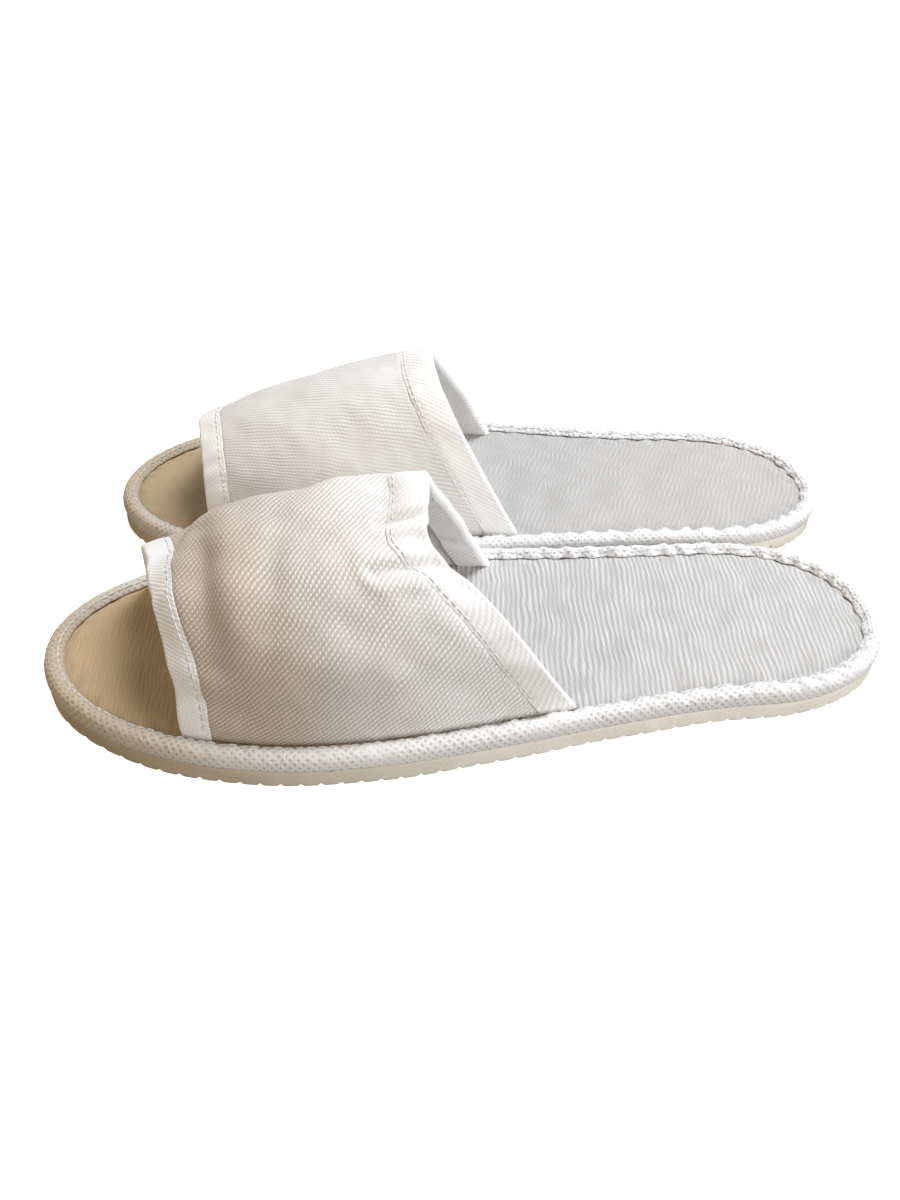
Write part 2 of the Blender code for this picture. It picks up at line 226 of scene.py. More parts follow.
class Bench:
    """The node tree of one new material, with a Principled shader ready to be fed."""

    def __init__(self, name: str, roughness: float, sheen: float) -> None:
        """Starts a material.

        Args:
            name: the material's name.
            roughness: the roughness all over the surface.
            sheen: how much soft edge light the fibres give.
        """
        self.material = bpy.data.materials.new(name)
        self.material.use_nodes = True
        self.tree = self.material.node_tree
        self.shader = self.tree.nodes["Principled BSDF"]
        self.shader.inputs["Roughness"].default_value = roughness
        self.shader.inputs["Specular IOR Level"].default_value = 0.25
        self.shader.inputs["Sheen Weight"].default_value = sheen
        self.shader.inputs["Sheen Roughness"].default_value = 0.55
        cloth = self.add("ShaderNodeUVMap", {"uv_map": CLOTH}, {})
        self.cloth = cloth
        self.along = self.add("ShaderNodeSeparateXYZ", {}, {0: cloth}, out=0)
        self.across = self.add("ShaderNodeSeparateXYZ", {}, {0: cloth}, out=1)

    def add(self, kind: str, settings: dict[str, object], inputs: dict[object, object], out: object = 0) -> Wire:
        """Adds one node.

        Args:
            kind: the node's type.
            settings: its own settings, set before its sockets.
            inputs: what each input socket gets, by name or number: a Wire or a plain value.
            out: which output socket is wanted.

        Returns:
            The output, wrapped.
        """
        node = self.tree.nodes.new(kind)
        for name, value in settings.items():
            setattr(node, name, value)
        for key, value in inputs.items():
            socket = node.inputs[key]
            if isinstance(value, Wire):
                self.tree.links.new(value.socket, socket)
            else:
                socket.default_value = value
        return Wire(self, node.outputs[out])

    def noise(self, size: float, detail: float) -> Wire:
        """Cloudy noise on the cloth.

        Args:
            size: the usual size of its blots, in metres.
            detail: how many finer layers it has.

        Returns:
            Noise around 0.5.
        """
        scale = (1 / size, 1 / size, 1.0)
        place = self.add("ShaderNodeVectorMath", {"operation": "MULTIPLY"}, {0: self.cloth, 1: scale})
        return self.add("ShaderNodeTexNoise", {}, {"Vector": place, "Scale": 1.0, "Detail": detail})

    def aged(self, colour: Wire, tint: Colour, fade: tuple[float, float], around: float) -> Wire:
        """A colour darkened and warmed towards the toe: painted shade.

        Args:
            colour: the colour as new.
            tint: the painted shade it is multiplied by at the toe.
            fade: how far from the toe the tint starts to fade and where it has gone, in metres.
            around: the length of the rim that the cloth follows, or 0 for cloth laid straight along the sole.

        Returns:
            The tinted colour.
        """
        near = 1.0 - self.along.step(*fade)
        if around:
            near = near.highest(self.along.step(around - fade[1], around - fade[0]))
        return self.tinted(colour, self.blend(near, (1.0, 1.0, 1.0), tint))

    def tinted(self, colour: Wire, tint: Wire) -> Wire:
        """One colour multiplied by another."""
        settings = {"data_type": "RGBA", "blend_type": "MULTIPLY"}
        return self.add("ShaderNodeMix", settings, {0: 1.0, 6: colour, 7: tint}, out=2)

    def blend(self, factor: Wire, low: object, high: object) -> Wire:
        """A colour between two others.

        Args:
            factor: 0 for low, 1 for high.
            low: a colour or a Wire of one.
            high: a colour or a Wire of one.

        Returns:
            The mixed colour.
        """
        values = {0: factor}
        for socket, colour in ((6, low), (7, high)):
            values[socket] = colour if isinstance(colour, Wire) else (*colour, 1.0)
        return self.add("ShaderNodeMix", {"data_type": "RGBA"}, values, out=2)

    def finish(self, colour: Wire, height: Wire, relief: float) -> bpy.types.Material:
        """Feeds the shader and hands over the material.

        Args:
            colour: the base colour.
            height: the fine relief, about 0 to 1.
            relief: the depth of that relief, in metres.

        Returns:
            The finished material.
        """
        self.tree.links.new(colour.socket, self.shader.inputs["Base Color"])
        bump = self.add("ShaderNodeBump", {}, {"Strength": 1.0, "Distance": relief, "Height": height})
        self.tree.links.new(bump.socket, self.shader.inputs["Normal"])
        return self.material


# ---------------------------------------------------------------- finishes


class Weave(Enum):
    """How a cloth's yarns run."""

    TWILL = "twill"
    RIB = "rib"
    KNIT = "knit"
    PLAIN = "plain"


@dataclass(frozen=True)
class ClothFinish:
    """A white cloth with its weave."""

    name: str
    weave: Weave
    # high is the colour of the yarns' tops, low that of the valleys between them: the darker valleys are painted
    # shade
    high: Colour = (0.97, 0.97, 0.97)
    low: Colour = (0.56, 0.545, 0.52)
    pitch: float = 1.3 * MM
    slant: float = 45.0  # degrees between the yarns' ribs and the cloth's length
    relief: float = 0.30 * MM
    fuzz: float = 0.3
    roughness: float = 0.92
    sheen: float = 0.25
    aged: Colour | None = None  # painted warm shade at its toe end, for the cloths of the sole
    fade: tuple[float, float] = (0.05, 0.15)  # where that painted shade fades
    around: float = 0.0  # the length of the rim it follows
    soft: float = 0.35  # how far wear has flattened it in patches
    shaded: Colour | None = None  # what the places between ribs or folds are multiplied by: their painted shade

    def height(self, bench: Bench) -> Wire:
        """The weave's relief, between 0 and about 1.

        Args:
            bench: the material being made.

        Returns:
            The height of the yarns.
        """
        turn = math.radians(self.slant)
        cos, sin = math.cos(turn), math.sin(turn)
        wobble = (bench.noise(9 * MM, 1.0) - 0.5) * 1.3
        over = (bench.along * cos + bench.across * sin) * (1 / self.pitch) + wobble
        beside = (bench.across * cos - bench.along * sin) * (1 / self.pitch)
        if self.weave is Weave.TWILL:
            beads = (beside * 0.9 + over * 0.5).wave()
            return over.wave() * (0.5 + 0.5 * beads)
        if self.weave is Weave.RIB:
            return over.wave() * 0.35 + (beside * 2.0).wave() * 0.3 + 0.2
        if self.weave is Weave.KNIT:
            first = (over + beside).wave() ** 0.9
            return first.highest((over - beside).wave() ** 0.9)
        return over.wave() * 0.5 + beside.wave() * 0.5

    def material(self) -> bpy.types.Material:
        """The cloth's material."""
        bench = Bench(self.name, self.roughness, self.sheen)
        yarn = self.height(bench)
        worn = bench.noise(16 * MM, 3.0).step(0.35, 0.75)
        fibres = bench.noise(0.7 * MM, 4.0)
        relief = yarn * (1.0 - worn * self.soft) + (fibres - 0.5) * self.fuzz
        # the colour is darker in the weave's valleys, which is painted shade, and varies at random with worn patches
        # and fibres
        tone = (yarn * 0.75 * (1.0 - worn * self.soft) + worn * (0.45 * self.soft) + fibres * 0.35).step(0.05, 0.85)
        colour = bench.blend(tone, self.low, self.high)
        if self.shaded:
            # painted shade: the places between ribs and in folds are darkened by the sheet's painted-shade attribute
            shade = bench.add("ShaderNodeAttribute", {"attribute_name": PAINTED_SHADE_ATTRIBUTE}, {}, out="Fac")
            colour = bench.tinted(colour, bench.blend(shade.step(0.0, 1.0), self.shaded, (1.0, 1.0, 1.0)))
        # painted shade: the colour is darkened and warmed towards the toe
        if self.aged:
            colour = bench.aged(colour, self.aged, self.fade, self.around)
        return bench.finish(colour, relief, self.relief)


@dataclass(frozen=True)
class RubberFinish:
    """Closed-cell foam rubber with a cut skin and small pits."""

    name: str
    high: Colour = (0.97, 0.94, 0.86)
    low: Colour = (0.84, 0.81, 0.70)
    # painted shade: the near-black colour put in the small pits
    pit: Colour = (0.10, 0.10, 0.08)
    # painted warm shade of the toe end
    aged: Colour = (0.44, 0.36, 0.26)
    cell: float = 1.1 * MM
    pits: float = 1.0

    def material(self) -> bpy.types.Material:
        """The foam's material."""
        bench = Bench(self.name, 0.72, 0.0)
        grain = bench.noise(self.cell, 4.0)
        clouds = bench.noise(14 * MM, 3.0)
        scale = (1 / (5 * MM), 1 / (3.2 * MM), 1.0)
        spots = bench.add("ShaderNodeVectorMath", {"operation": "MULTIPLY"}, {0: bench.cloth, 1: scale})
        cells = bench.add("ShaderNodeTexVoronoi", {}, {"Vector": spots, "Scale": 1.0})
        rare = bench.noise(21 * MM, 1.0).step(0.52, 0.6)
        pit = (1.0 - cells.step(0.08, 0.17)) * rare * self.pits
        skin = bench.blend((grain * 0.5 + clouds * 0.5).step(0.3, 0.68), self.low, self.high)
        # painted shade: the outsole's skin is darker and warmer towards the toe, at both ends of its rim
        skin = bench.aged(skin, self.aged, (0.03, 0.20), 0.70)
        # painted shade: the small pits are filled with the near-black pit colour
        colour = bench.blend(pit, skin, self.pit)
        return bench.finish(colour, grain * 0.5 - pit, 0.25 * MM)


@dataclass(frozen=True)
class PaddingFinish:
    """Open-cell padding foam, or grey card with a fibrous face."""

    name: str
    high: Colour
    low: Colour
    cell: float

    def material(self) -> bpy.types.Material:
        """The padding's material."""
        bench = Bench(self.name, 0.95, 0.0)
        place = bench.add(
            "ShaderNodeVectorMath", {"operation": "SCALE"}, {0: bench.cloth, "Scale": 1.0 / self.cell}
        )
        cells = bench.add("ShaderNodeTexVoronoi", {}, {"Vector": place, "Scale": 1.0})
        grain = bench.noise(self.cell * 2, 3.0)
        height = cells * 0.7 + grain * 0.3
        colour = bench.blend(height.step(0.1, 0.8), self.low, self.high)
        return bench.finish(colour, height, 0.3 * MM)


@dataclass(frozen=True)
class ThreadFinish:
    """Twisted polyester sewing thread."""

    name: str
    high: Colour = (0.90, 0.90, 0.90)
    low: Colour = (0.62, 0.61, 0.60)

    def material(self) -> bpy.types.Material:
        """The thread's material."""
        bench = Bench(self.name, 0.55, 0.15)
        twist = (bench.along * (1 / (0.9 * MM)) + bench.across * (1 / (1.1 * MM))).wave()
        fluff = bench.noise(0.5 * MM, 2.0)
        colour = bench.blend((twist * 0.8 + fluff * 0.3).step(0.1, 0.9), self.low, self.high)
        return bench.finish(colour, twist + fluff * 0.3, 0.08 * MM)


# ---------------------------------------------------------------- where a slipper stands


class Side(Enum):
    """Which foot a slipper is for."""

    LEFT = "left"
    RIGHT = "right"


@dataclass(frozen=True)
class Stand:
    """The frame of one slipper, read from its sole's flex joint."""

    side: Side
    origin: Vector
    forward: Vector  # from the toe to the heel
    inward: Vector  # towards the other foot

    @classmethod
    def from_flex(cls, side: Side, flex_x: float, flex_z: float) -> "Stand":
        """Finds where a slipper stands.

        Args:
            side: which slipper.
            flex_x: where the flex line lies along the sole.
            flex_z: how high it lies.

        Returns:
            The slipper's frame.
        """
        joint = next(j for j in frame["joints"] if j["name"] == f"{side.value}_sole_flex")
        axis = Vector(joint["axis"]).normalized()
        up = Vector((0, 0, 1))
        forward = up.cross(axis)
        inward = -axis if side is Side.LEFT else axis
        origin = Vector(joint["pos_m"]) - forward * flex_x - up * flex_z
        return cls(side, origin, forward, inward)

    def world(self, points: np.ndarray) -> np.ndarray:
        """Moves points from the slipper's frame to the pair's.

        Args:
            points: (..., 3) places in the slipper's frame.

        Returns:
            The same places in the pair's frame.
        """
        points = np.asarray(points, float)
        axes = np.array([self.forward, self.inward, (0.0, 0.0, 1.0)])
        return points @ axes + np.array(self.origin)

    def body(self, part: str) -> str:
        """The name of the slipper's forefoot or heel body."""
        return f"{self.side.value}_{part}"


# ---------------------------------------------------------------- meshes


class Workshop:
    """Turns grids of points into closed pieces of one slipper, each with its place on the cloth kept."""

    def __init__(self, stand: Stand) -> None:
        """Keeps the slipper's frame for every piece."""
        self.stand = stand

    def piece(
        self, name: str, points: np.ndarray, faces: list[np.ndarray], cloth: list[np.ndarray]
    ) -> bpy.types.Object:
        """Makes one closed piece with smooth faces.

        Args:
            name: the piece's name without its side.
            points: (n, 3) places in the slipper's frame.
            faces: arrays of faces, each (count, corners).
            cloth: arrays of cloth places in metres, one for each corner of each face.

        Returns:
            The new object, in the pair's frame.
        """
        world = self.stand.world(points)
        if self.volume(world, faces) < 0:
            faces = [f[:, ::-1] for f in faces]
            cloth = [c[:, ::-1] for c in cloth]
        mesh = bpy.data.meshes.new(f"{self.stand.side.value}_{name}")
        rows = [row for f in faces for row in f.tolist()]
        mesh.from_pydata(world.tolist(), [], rows)
        layer = mesh.uv_layers.new(name=CLOTH)
        layer.data.foreach_set("uv", np.concatenate([c.reshape(-1, 2) for c in cloth]).astype(np.float32).ravel())
        mesh.polygons.foreach_set("use_smooth", [True] * len(mesh.polygons))
        mesh.update()
        made = bpy.data.objects.new(mesh.name, mesh)
        bpy.context.scene.collection.objects.link(made)
        return made

    @staticmethod
    def volume(points: np.ndarray, faces: list[np.ndarray]) -> float:
        """The volume inside the faces, negative where they face inwards."""
        total = 0.0
        for f in faces:
            for k in range(1, f.shape[1] - 1):
                a, b, c = points[f[:, 0]], points[f[:, k]], points[f[:, k + 1]]
                total += float(np.einsum("ij,ij->i", a, np.cross(b, c)).sum())
        return total / 6

    def folded(
        self,
        name: str,
        outside: np.ndarray,
        inside: np.ndarray,
        cloth: np.ndarray,
        ring: bool = False,
        tone: np.ndarray | None = None,
    ) -> bpy.types.Object:
        """A closed sheet with thickness, given by its two faces.

        Args:
            name: the piece's name without its side.
            outside: (rows, across, 3) points of one face.
            inside: the matching points of the other face.
            cloth: (rows, across, 2) places on the cloth, with one more row for a ring.
            ring: whether the last row joins the first.
            tone: (rows, across) painted shade of each place as a lightness, 1 if it is left out.

        Returns:
            The new object.
        """
        rows, across = outside.shape[:2]
        tone = np.ones((rows, across)) if tone is None else tone
        loop = 2 * across
        points = np.concatenate([outside, inside[:, ::-1]], axis=1).reshape(-1, 3)
        around = np.concatenate([cloth, cloth[:, ::-1]], axis=1)
        count = rows if ring else rows - 1
        i, j = np.meshgrid(np.arange(count), np.arange(loop), indexing="ij")
        i, j = i.ravel(), j.ravel()
        i2, j2 = i + 1, (j + 1) % loop
        here, ahead = i * loop, i2 % rows * loop
        faces = [np.stack([here + j, here + j2, ahead + j2, ahead + j], axis=1)]
        corners = [np.stack([around[i, j], around[i, j2], around[i2, j2], around[i2, j]], axis=1)]
        if not ring:
            k = np.arange(across - 1)
            for row, order in ((0, (1, 0, 3, 2)), (rows - 1, (0, 1, 2, 3))):
                ends = [k, k + 1, loop - 2 - k, loop - 1 - k]
                ends = [ends[n] for n in order]
                faces.append(np.stack([row * loop + e for e in ends], axis=1))
                corners.append(np.stack([around[row, e] for e in ends], axis=1))
        made = self.piece(name, points, faces, corners)
        # the painted shade of each place, kept on the sheet for its material
        shades = made.data.attributes.new(PAINTED_SHADE_ATTRIBUTE, "FLOAT", "POINT")
        shades.data.foreach_set("value", np.concatenate([tone, tone[:, ::-1]], axis=1).astype(np.float32).ravel())
        return made

    def stitches(
        self, name: str, path: np.ndarray, up: np.ndarray, pitch: float, length: float, radius: float, closed: bool
    ) -> bpy.types.Object:
        """A row of separate stitches along a line on a cloth.

        Args:
            name: the piece's name without its side.
            path: (n, 3) points of the line.
            up: (n, 3) directions out of the cloth.
            pitch: distance from one stitch to the next.
            length: length of the thread that shows in each stitch.
            radius: the thread's radius.
            closed: whether the line is a ring.

        Returns:
            The new object.
        """
        if closed:
            path, up = np.concatenate([path, path[:1]]), np.concatenate([up, up[:1]])
        run = distances(path)
        count = int(run[-1] // pitch)
        step = run[-1] / count
        rings, sides = 9, 6
        t = np.linspace(-1, 1, rings)
        s = (np.arange(count)[:, None] + 0.5) * step + length * t / 2
        centre = np.stack([np.interp(s, run, path[:, k]) for k in range(3)], axis=2)
        normal = unit(np.stack([np.interp(s, run, up[:, k]) for k in range(3)], axis=2))
        centre += normal * (radius * (0.9 - 1.7 * np.abs(t) ** 4))[:, None]
        thick = radius * np.sqrt(np.maximum(1 - np.abs(t) ** 5, 0.05))
        forward = unit(np.gradient(centre, axis=1))
        side = unit(np.cross(forward, normal))
        lift = np.cross(side, forward)
        turn = 2 * math.pi * np.arange(sides)[:, None] / sides
        skin = np.cos(turn) * side[:, :, None] + np.sin(turn) * lift[:, :, None]
        skin = centre[:, :, None] + thick[:, None, None] * skin
        ends = centre[:, [0, -1]] + forward[:, [0, -1]] * radius * np.array([[-0.3], [0.3]])
        points = np.concatenate([skin.reshape(count, -1, 3), ends], axis=1).reshape(-1, 3)

        base = np.arange(count)[:, None] * (rings * sides + 2)
        k, q = (grid.ravel() for grid in np.meshgrid(np.arange(rings - 1), np.arange(sides), indexing="ij"))
        r = (q + 1) % sides
        near, far = k * sides, (k + 1) * sides
        quads = np.stack([base + n for n in (near + q, near + r, far + r, far + q)], 2)
        corners = [(s[:, ring], np.broadcast_to(way * MM / 3, s[:, ring].shape)) for ring, way in (
            (k, q), (k, q + 1), (k + 1, q + 1), (k + 1, q)
        )]
        quad_cloth = np.stack([np.stack(corner, axis=2) for corner in corners], axis=2)
        q, last = np.arange(sides), (rings - 1) * sides
        r = (q + 1) % sides
        start, end = np.full(sides, rings * sides), np.full(sides, rings * sides + 1)
        tips = [np.stack([base + n for n in tip], 2) for tip in ((start, r, q), (end, last + q, last + r))]
        tips = np.concatenate(tips, axis=1).reshape(-1, 3)
        tip_cloth = np.zeros((len(tips), 3, 2))
        tip_cloth[:, :, 0] = np.repeat(np.arange(count) * step, 2 * sides)[:, None]
        return self.piece(name, points, [quads.reshape(-1, 4), tips], [quad_cloth.reshape(-1, 4, 2), tip_cloth])


# ---------------------------------------------------------------- the sole's outline


@dataclass(frozen=True)
class SoleOutline:
    """The sole's edge, as sizes of its toe, ball and heel."""

    length: float = 0.285
    ball_outer: float = 0.0594
    ball_inner: float = 0.0480
    toe_round_outer: float = 0.092
    toe_round_inner: float = 0.070
    heel_outer: float = 0.0437
    heel_inner: float = 0.0420
    heel_round: float = 0.055
    heel_squareness: float = 2.2

    def side(self, ball: float, toe_round: float, heel: float) -> np.ndarray:
        """One side of the edge, from the toe's tip to the heel's.

        Args:
            ball: half width at the ball of the foot.
            toe_round: length of the toe's curve.
            heel: half width where the heel's curve starts.

        Returns:
            Rows of (x, half width).
        """
        start = self.length - self.heel_round
        turn = np.linspace(0, math.pi / 2, 300)
        toe = np.stack([toe_round * (1 - np.cos(turn)), ball * np.sin(turn)], axis=1)
        t = np.linspace(0, 1, 300)[1:-1]
        taper = np.stack([toe_round + (start - toe_round) * t, ball + (heel - ball) * smoothstep(0, 1, t)], axis=1)
        power = 2 / self.heel_squareness
        back = np.stack(
            [start + self.heel_round * np.sin(turn) ** power, heel * np.maximum(np.cos(turn), 0) ** power], axis=1
        )
        return np.concatenate([toe, taper, back])

    def edge(self) -> np.ndarray:
        """The whole edge, closed: from the toe's tip along the outer side, round the heel and back."""
        outer = self.side(self.ball_outer, self.toe_round_outer, self.heel_outer) * (1, -1)
        inner = self.side(self.ball_inner, self.toe_round_inner, self.heel_inner)
        return np.concatenate([outer, inner[-2:0:-1]])


class Rim:
    """The sole's edge as evenly spaced places, with their distances along it."""

    def __init__(self, outline: SoleOutline, count: int) -> None:
        """Spaces the places.

        Args:
            outline: the sole's outline.
            count: how many places there are around the sole.
        """
        edge = outline.edge()
        closed = np.concatenate([edge, edge[:1]])
        run = distances(closed)
        self.length = float(run[-1])
        self.run = np.arange(count) * self.length / count
        self.points = np.stack([np.interp(self.run, run, closed[:, k]) for k in range(2)], axis=1)
        ahead = np.roll(self.points, -2, axis=0) - np.roll(self.points, 2, axis=0)
        ahead = unit(ahead)
        self.inward = np.stack([-ahead[:, 1], ahead[:, 0]], axis=1)

    def inset(self, distance: object) -> np.ndarray:
        """The edge moved inwards, by one distance or one for each place."""
        distance = np.broadcast_to(np.asarray(distance, float), self.run.shape)
        return self.points + self.inward * distance[:, None]

    def sides(self, distance: float) -> tuple[np.ndarray, np.ndarray]:
        """The inset edge as its outer and inner sides, with x growing along each.

        Args:
            distance: how far it is moved inwards.

        Returns:
            (outer side, inner side), each as rows of (x, y).
        """
        points = self.inset(distance)
        outer, inner = points[points[:, 1] <= 0], points[points[:, 1] >= 0]
        return outer[np.argsort(outer[:, 0])], inner[np.argsort(inner[:, 0])]

    def away(self, points: np.ndarray) -> np.ndarray:
        """How far each place is from the edge.

        Args:
            points: (n, 2) places inside it.

        Returns:
            One distance for each.
        """
        nearest = np.empty(len(points))
        for start in range(0, len(points), 4000):
            part = points[start : start + 4000]
            gap = part[:, None, :] - self.points[None, ::2, :]
            nearest[start : start + 4000] = np.sqrt((gap**2).sum(axis=2).min(axis=1))
        return nearest


# ---------------------------------------------------------------- the sole


@dataclass(frozen=True)
class SoleSizes:
    """Heights of the sole's layers and the sizes of its tread and binding."""

    flex_x: float = 0.180
    flex_z: float = 0.0128
    board: tuple[float, float] = (0.0063, 0.0072)
    foam: tuple[float, float] = (0.0075, 0.0091)
    cover: tuple[float, float] = (0.0094, 0.0101)
    layer_inset: float = 0.0021
    groove_pitch: float = 0.006
    groove_width: float = 0.0021
    groove_depth: float = 0.0011
    groove_margin: float = 0.004
    bend_start: float = 0.170
    bend_end: float = 0.215


@dataclass(frozen=True)
class InsoleLook:
    """How one slipper's insole cloth lies."""

    rib_pitch: float = 1.85 * MM
    rib_height: float = 0.42 * MM
    rib_slant: float = -9.0  # degrees from straight across
    seed: int = 3


class Sole:
    """One slipper's sole: outsole, board, foam, ribbed cover, binding and its stitching."""

    # Sections in millimetres, as (distance inside the sole's edge, height above the floor).
    WALL = (
        (0.55, 0.0), (0.2, 0.12), (0.0, 0.5), (0.0, 1.6), (-0.05, 3.0), (0.0, 4.4), (0.05, 5.5), (0.2, 5.85),
        (0.6, 6.0),
    )
    ROLL = (
        (0.35, 6.15), (-0.25, 6.6), (-0.62, 7.6), (-0.72, 8.8), (-0.50, 10.2), (0.15, 11.5), (1.3, 12.45),
        (2.7, 12.75), (4.0, 12.2), (5.0, 11.3), (5.65, 10.5),
    )
    UNDER_ROLL = ((1.9, 6.35), (1.9, 7.5), (1.9, 9.0), (1.95, 10.0), (2.6, 10.6), (4.0, 10.55), (5.35, 10.3))
    UNDER_SHARES = (0, 0.12, 0.28, 0.42, 0.6, 0.8, 1.0)  # how far round the roll each place of UNDER_ROLL lies
    ROLL_PLACES = 22
    STITCHED_PLACE = 17  # the place of the roll that is sewn down
    PUCKER = 9.2 * MM  # from one fold of the binding to the next

    def __init__(self, shop: Workshop, outline: SoleOutline, sizes: SoleSizes, look: InsoleLook) -> None:
        """Keeps the sizes.

        Args:
            shop: makes the pieces.
            outline: the sole's outline.
            sizes: the layers' sizes.
            look: how this insole's cloth lies.
        """
        self.shop = shop
        self.outline = outline
        self.sizes = sizes
        self.look = look
        self.rim = Rim(outline, 1200)

    def groove(self, x: np.ndarray) -> np.ndarray:
        """How deep the tread is cut at each place along the sole."""
        s = self.sizes
        phase = (x - s.flex_x) / s.groove_pitch - 0.5
        off = np.abs(phase - np.round(phase)) * s.groove_pitch
        inside = (x > s.groove_margin) & (x < self.outline.length - s.groove_margin)
        return np.where(inside, np.maximum(0.0, 1 - off / (s.groove_width / 2)), 0.0) * s.groove_depth

    def strips(self, distance: float, xs: np.ndarray, across: int) -> np.ndarray:
        """A flat grid inside the outline.

        Args:
            distance: how far inside the edge it stays.
            xs: its places along the sole.
            across: how many points each row has.

        Returns:
            (rows, across, 2) places.
        """
        outer, inner = self.rim.sides(distance)
        low, high = np.interp(xs, outer[:, 0], outer[:, 1]), np.interp(xs, inner[:, 0], inner[:, 1])
        t = np.linspace(0, 1, across)
        y = low[:, None] * (1 - t) + high[:, None] * t
        return np.stack([np.broadcast_to(xs[:, None], y.shape), y], axis=2)

    def stations(self, distance: float, step: float) -> np.ndarray:
        """Places along the sole, closer together at its two rounded ends."""
        x = self.rim.inset(distance)[:, 0]
        low, high, rounded = x.min(), x.max(), 6 * MM
        middle = np.arange(low + rounded, high - rounded, step)
        ends = rounded * (1 - np.cos(np.linspace(0.06, math.pi / 2, 14)))
        return np.concatenate([low + ends[:-1], middle, (high - ends[:-1])[::-1]])

    def outsole(self) -> bpy.types.Object:
        """The foam outsole: a cut wall with small bevels and V grooves across its underside."""
        xs = self.tread_stations()
        outer, inner = self.rim.sides(0.0)
        low, high = np.interp(xs, outer[:, 0], outer[:, 1]), np.interp(xs, inner[:, 0], inner[:, 1])
        low[0] = high[0] = low[-1] = high[-1] = 0.0
        edge = np.concatenate([np.stack([xs, low], 1), np.stack([xs, high], 1)[-2:0:-1]])
        ahead = unit(np.roll(edge, -1, axis=0) - np.roll(edge, 1, axis=0))
        inward = np.stack([-ahead[:, 1], ahead[:, 0]], axis=1)
        run = distances(np.concatenate([edge, edge[:1]]))
        count = len(edge)
        uneven = Ripple(11, 34 * MM)
        rings, cloth = [], []
        for inset, height in self.WALL:
            bulge = uneven.at(run[:-1], height * 4 * MM) * 0.12 * MM
            place = edge + inward * (inset * MM + bulge)[:, None]
            lift = self.groove(place[:, 0]) * np.clip(1 - (height / 1.4), 0, 1)
            rings.append(np.concatenate([place, (height * MM + lift)[:, None]], axis=1))
            cloth.append(np.stack([run, np.full(count + 1, height * MM)], axis=1))
        i = np.arange(count)
        j = (i + 1) % count
        faces, corners = [], []
        for k in range(len(rings) - 1):
            low, high = k * count, (k + 1) * count
            faces.append(np.stack([low + i, low + j, high + j, high + i], axis=1))
            corners.append(np.stack([cloth[k][i], cloth[k][i + 1], cloth[k + 1][i + 1], cloth[k + 1][i]], axis=1))
        points = np.concatenate(rings)
        for ring in (0, len(rings) - 1):
            own, *sides = self.lid(rings[ring], ring * count, len(points), ring > 0)
            points = np.concatenate([points, own])
            for side in sides:
                faces.append(side)
                corners.append(points[side][:, :, :2])
        return self.shop.piece("outsole_foam", points, faces, corners)

    def lid(self, ring: np.ndarray, first: int, free: int, top: bool) -> tuple[np.ndarray, np.ndarray, np.ndarray]:
        """Closes one end of the outsole's wall.

        Args:
            ring: (count, 3) points of the wall's end, from the toe's tip all the way round.
            first: the number of the ring's first point.
            free: the number that the lid's own points start from.
            top: whether it is the upper side, which has no grooves.

        Returns:
            (its own points, its faces, its three-sided faces at the two tips).
        """
        half, across = len(ring) // 2, 10
        t = np.linspace(0, 1, across + 1)[1:-1, None]
        own = ring[1:half, None] * (1 - t) + ring[:half:-1, None] * t
        if not top:
            own[:, :, 2] = self.groove(own[:, :, 0])
        grid = np.empty((half + 1, across + 1), int)
        grid[[0, half]] = [[first], [first + half]]
        grid[1:half, 0] = first + np.arange(1, half)
        grid[1:half, -1] = first + np.arange(len(ring) - 1, half, -1)
        grid[1:half, 1:-1] = free + np.arange((half - 1) * (across - 1)).reshape(half - 1, -1)
        quads = np.stack([grid[:-1, :-1], grid[:-1, 1:], grid[1:, 1:], grid[1:, :-1]], axis=2)
        if top:
            quads = quads[:, :, ::-1]
        ends = [list(dict.fromkeys(quad)) for quad in quads[[0, -1]].reshape(-1, 4).tolist()]
        return own.reshape(-1, 3), quads[1:-1].reshape(-1, 4), np.array([end for end in ends if len(end) == 3])

    def tread_stations(self) -> np.ndarray:
        """Places along the sole that fall on the tread's edges and bottoms."""
        s = self.sizes
        first = math.ceil((s.groove_margin - s.flex_x) / s.groove_pitch - 0.5)
        last = math.floor((self.outline.length - s.groove_margin - s.flex_x) / s.groove_pitch - 0.5)
        marks = []
        for k in range(first, last + 1):
            x = s.flex_x + (k + 0.5) * s.groove_pitch
            marks += [x + s.groove_width * share for share in (-0.5, -0.25, 0.0, 0.25, 0.5)]
            marks += [x + s.groove_pitch / 2]
        start, end = marks[0], marks[-1]
        toe = start * (1 - np.cos(np.linspace(0, math.pi / 2, 16)))[:-1]
        tail = self.outline.length - end
        heel = self.outline.length - tail * (1 - np.cos(np.linspace(0, math.pi / 2, 16)))[:-1][::-1]
        return np.concatenate([toe, marks, heel])

    def layer(self, name: str, heights: tuple[float, float], step: float) -> bpy.types.Object:
        """A flat hidden layer of the sole.

        Args:
            name: the piece's name.
            heights: its bottom and top.
            step: how far apart its rows are.

        Returns:
            The new object.
        """
        xs = self.stations(self.sizes.layer_inset, step)
        flat = self.strips(self.sizes.layer_inset, xs, 24)
        soft = np.minimum(1.0, self.rim.away(flat.reshape(-1, 2)).reshape(flat.shape[:2]) / (5 * MM))
        low = np.concatenate([flat, np.full((*flat.shape[:2], 1), heights[0])], axis=2)
        high = low.copy()
        high[:, :, 2] = heights[1] - 0.12 * MM * (1 - soft)
        return self.shop.folded(name, high, low, flat)

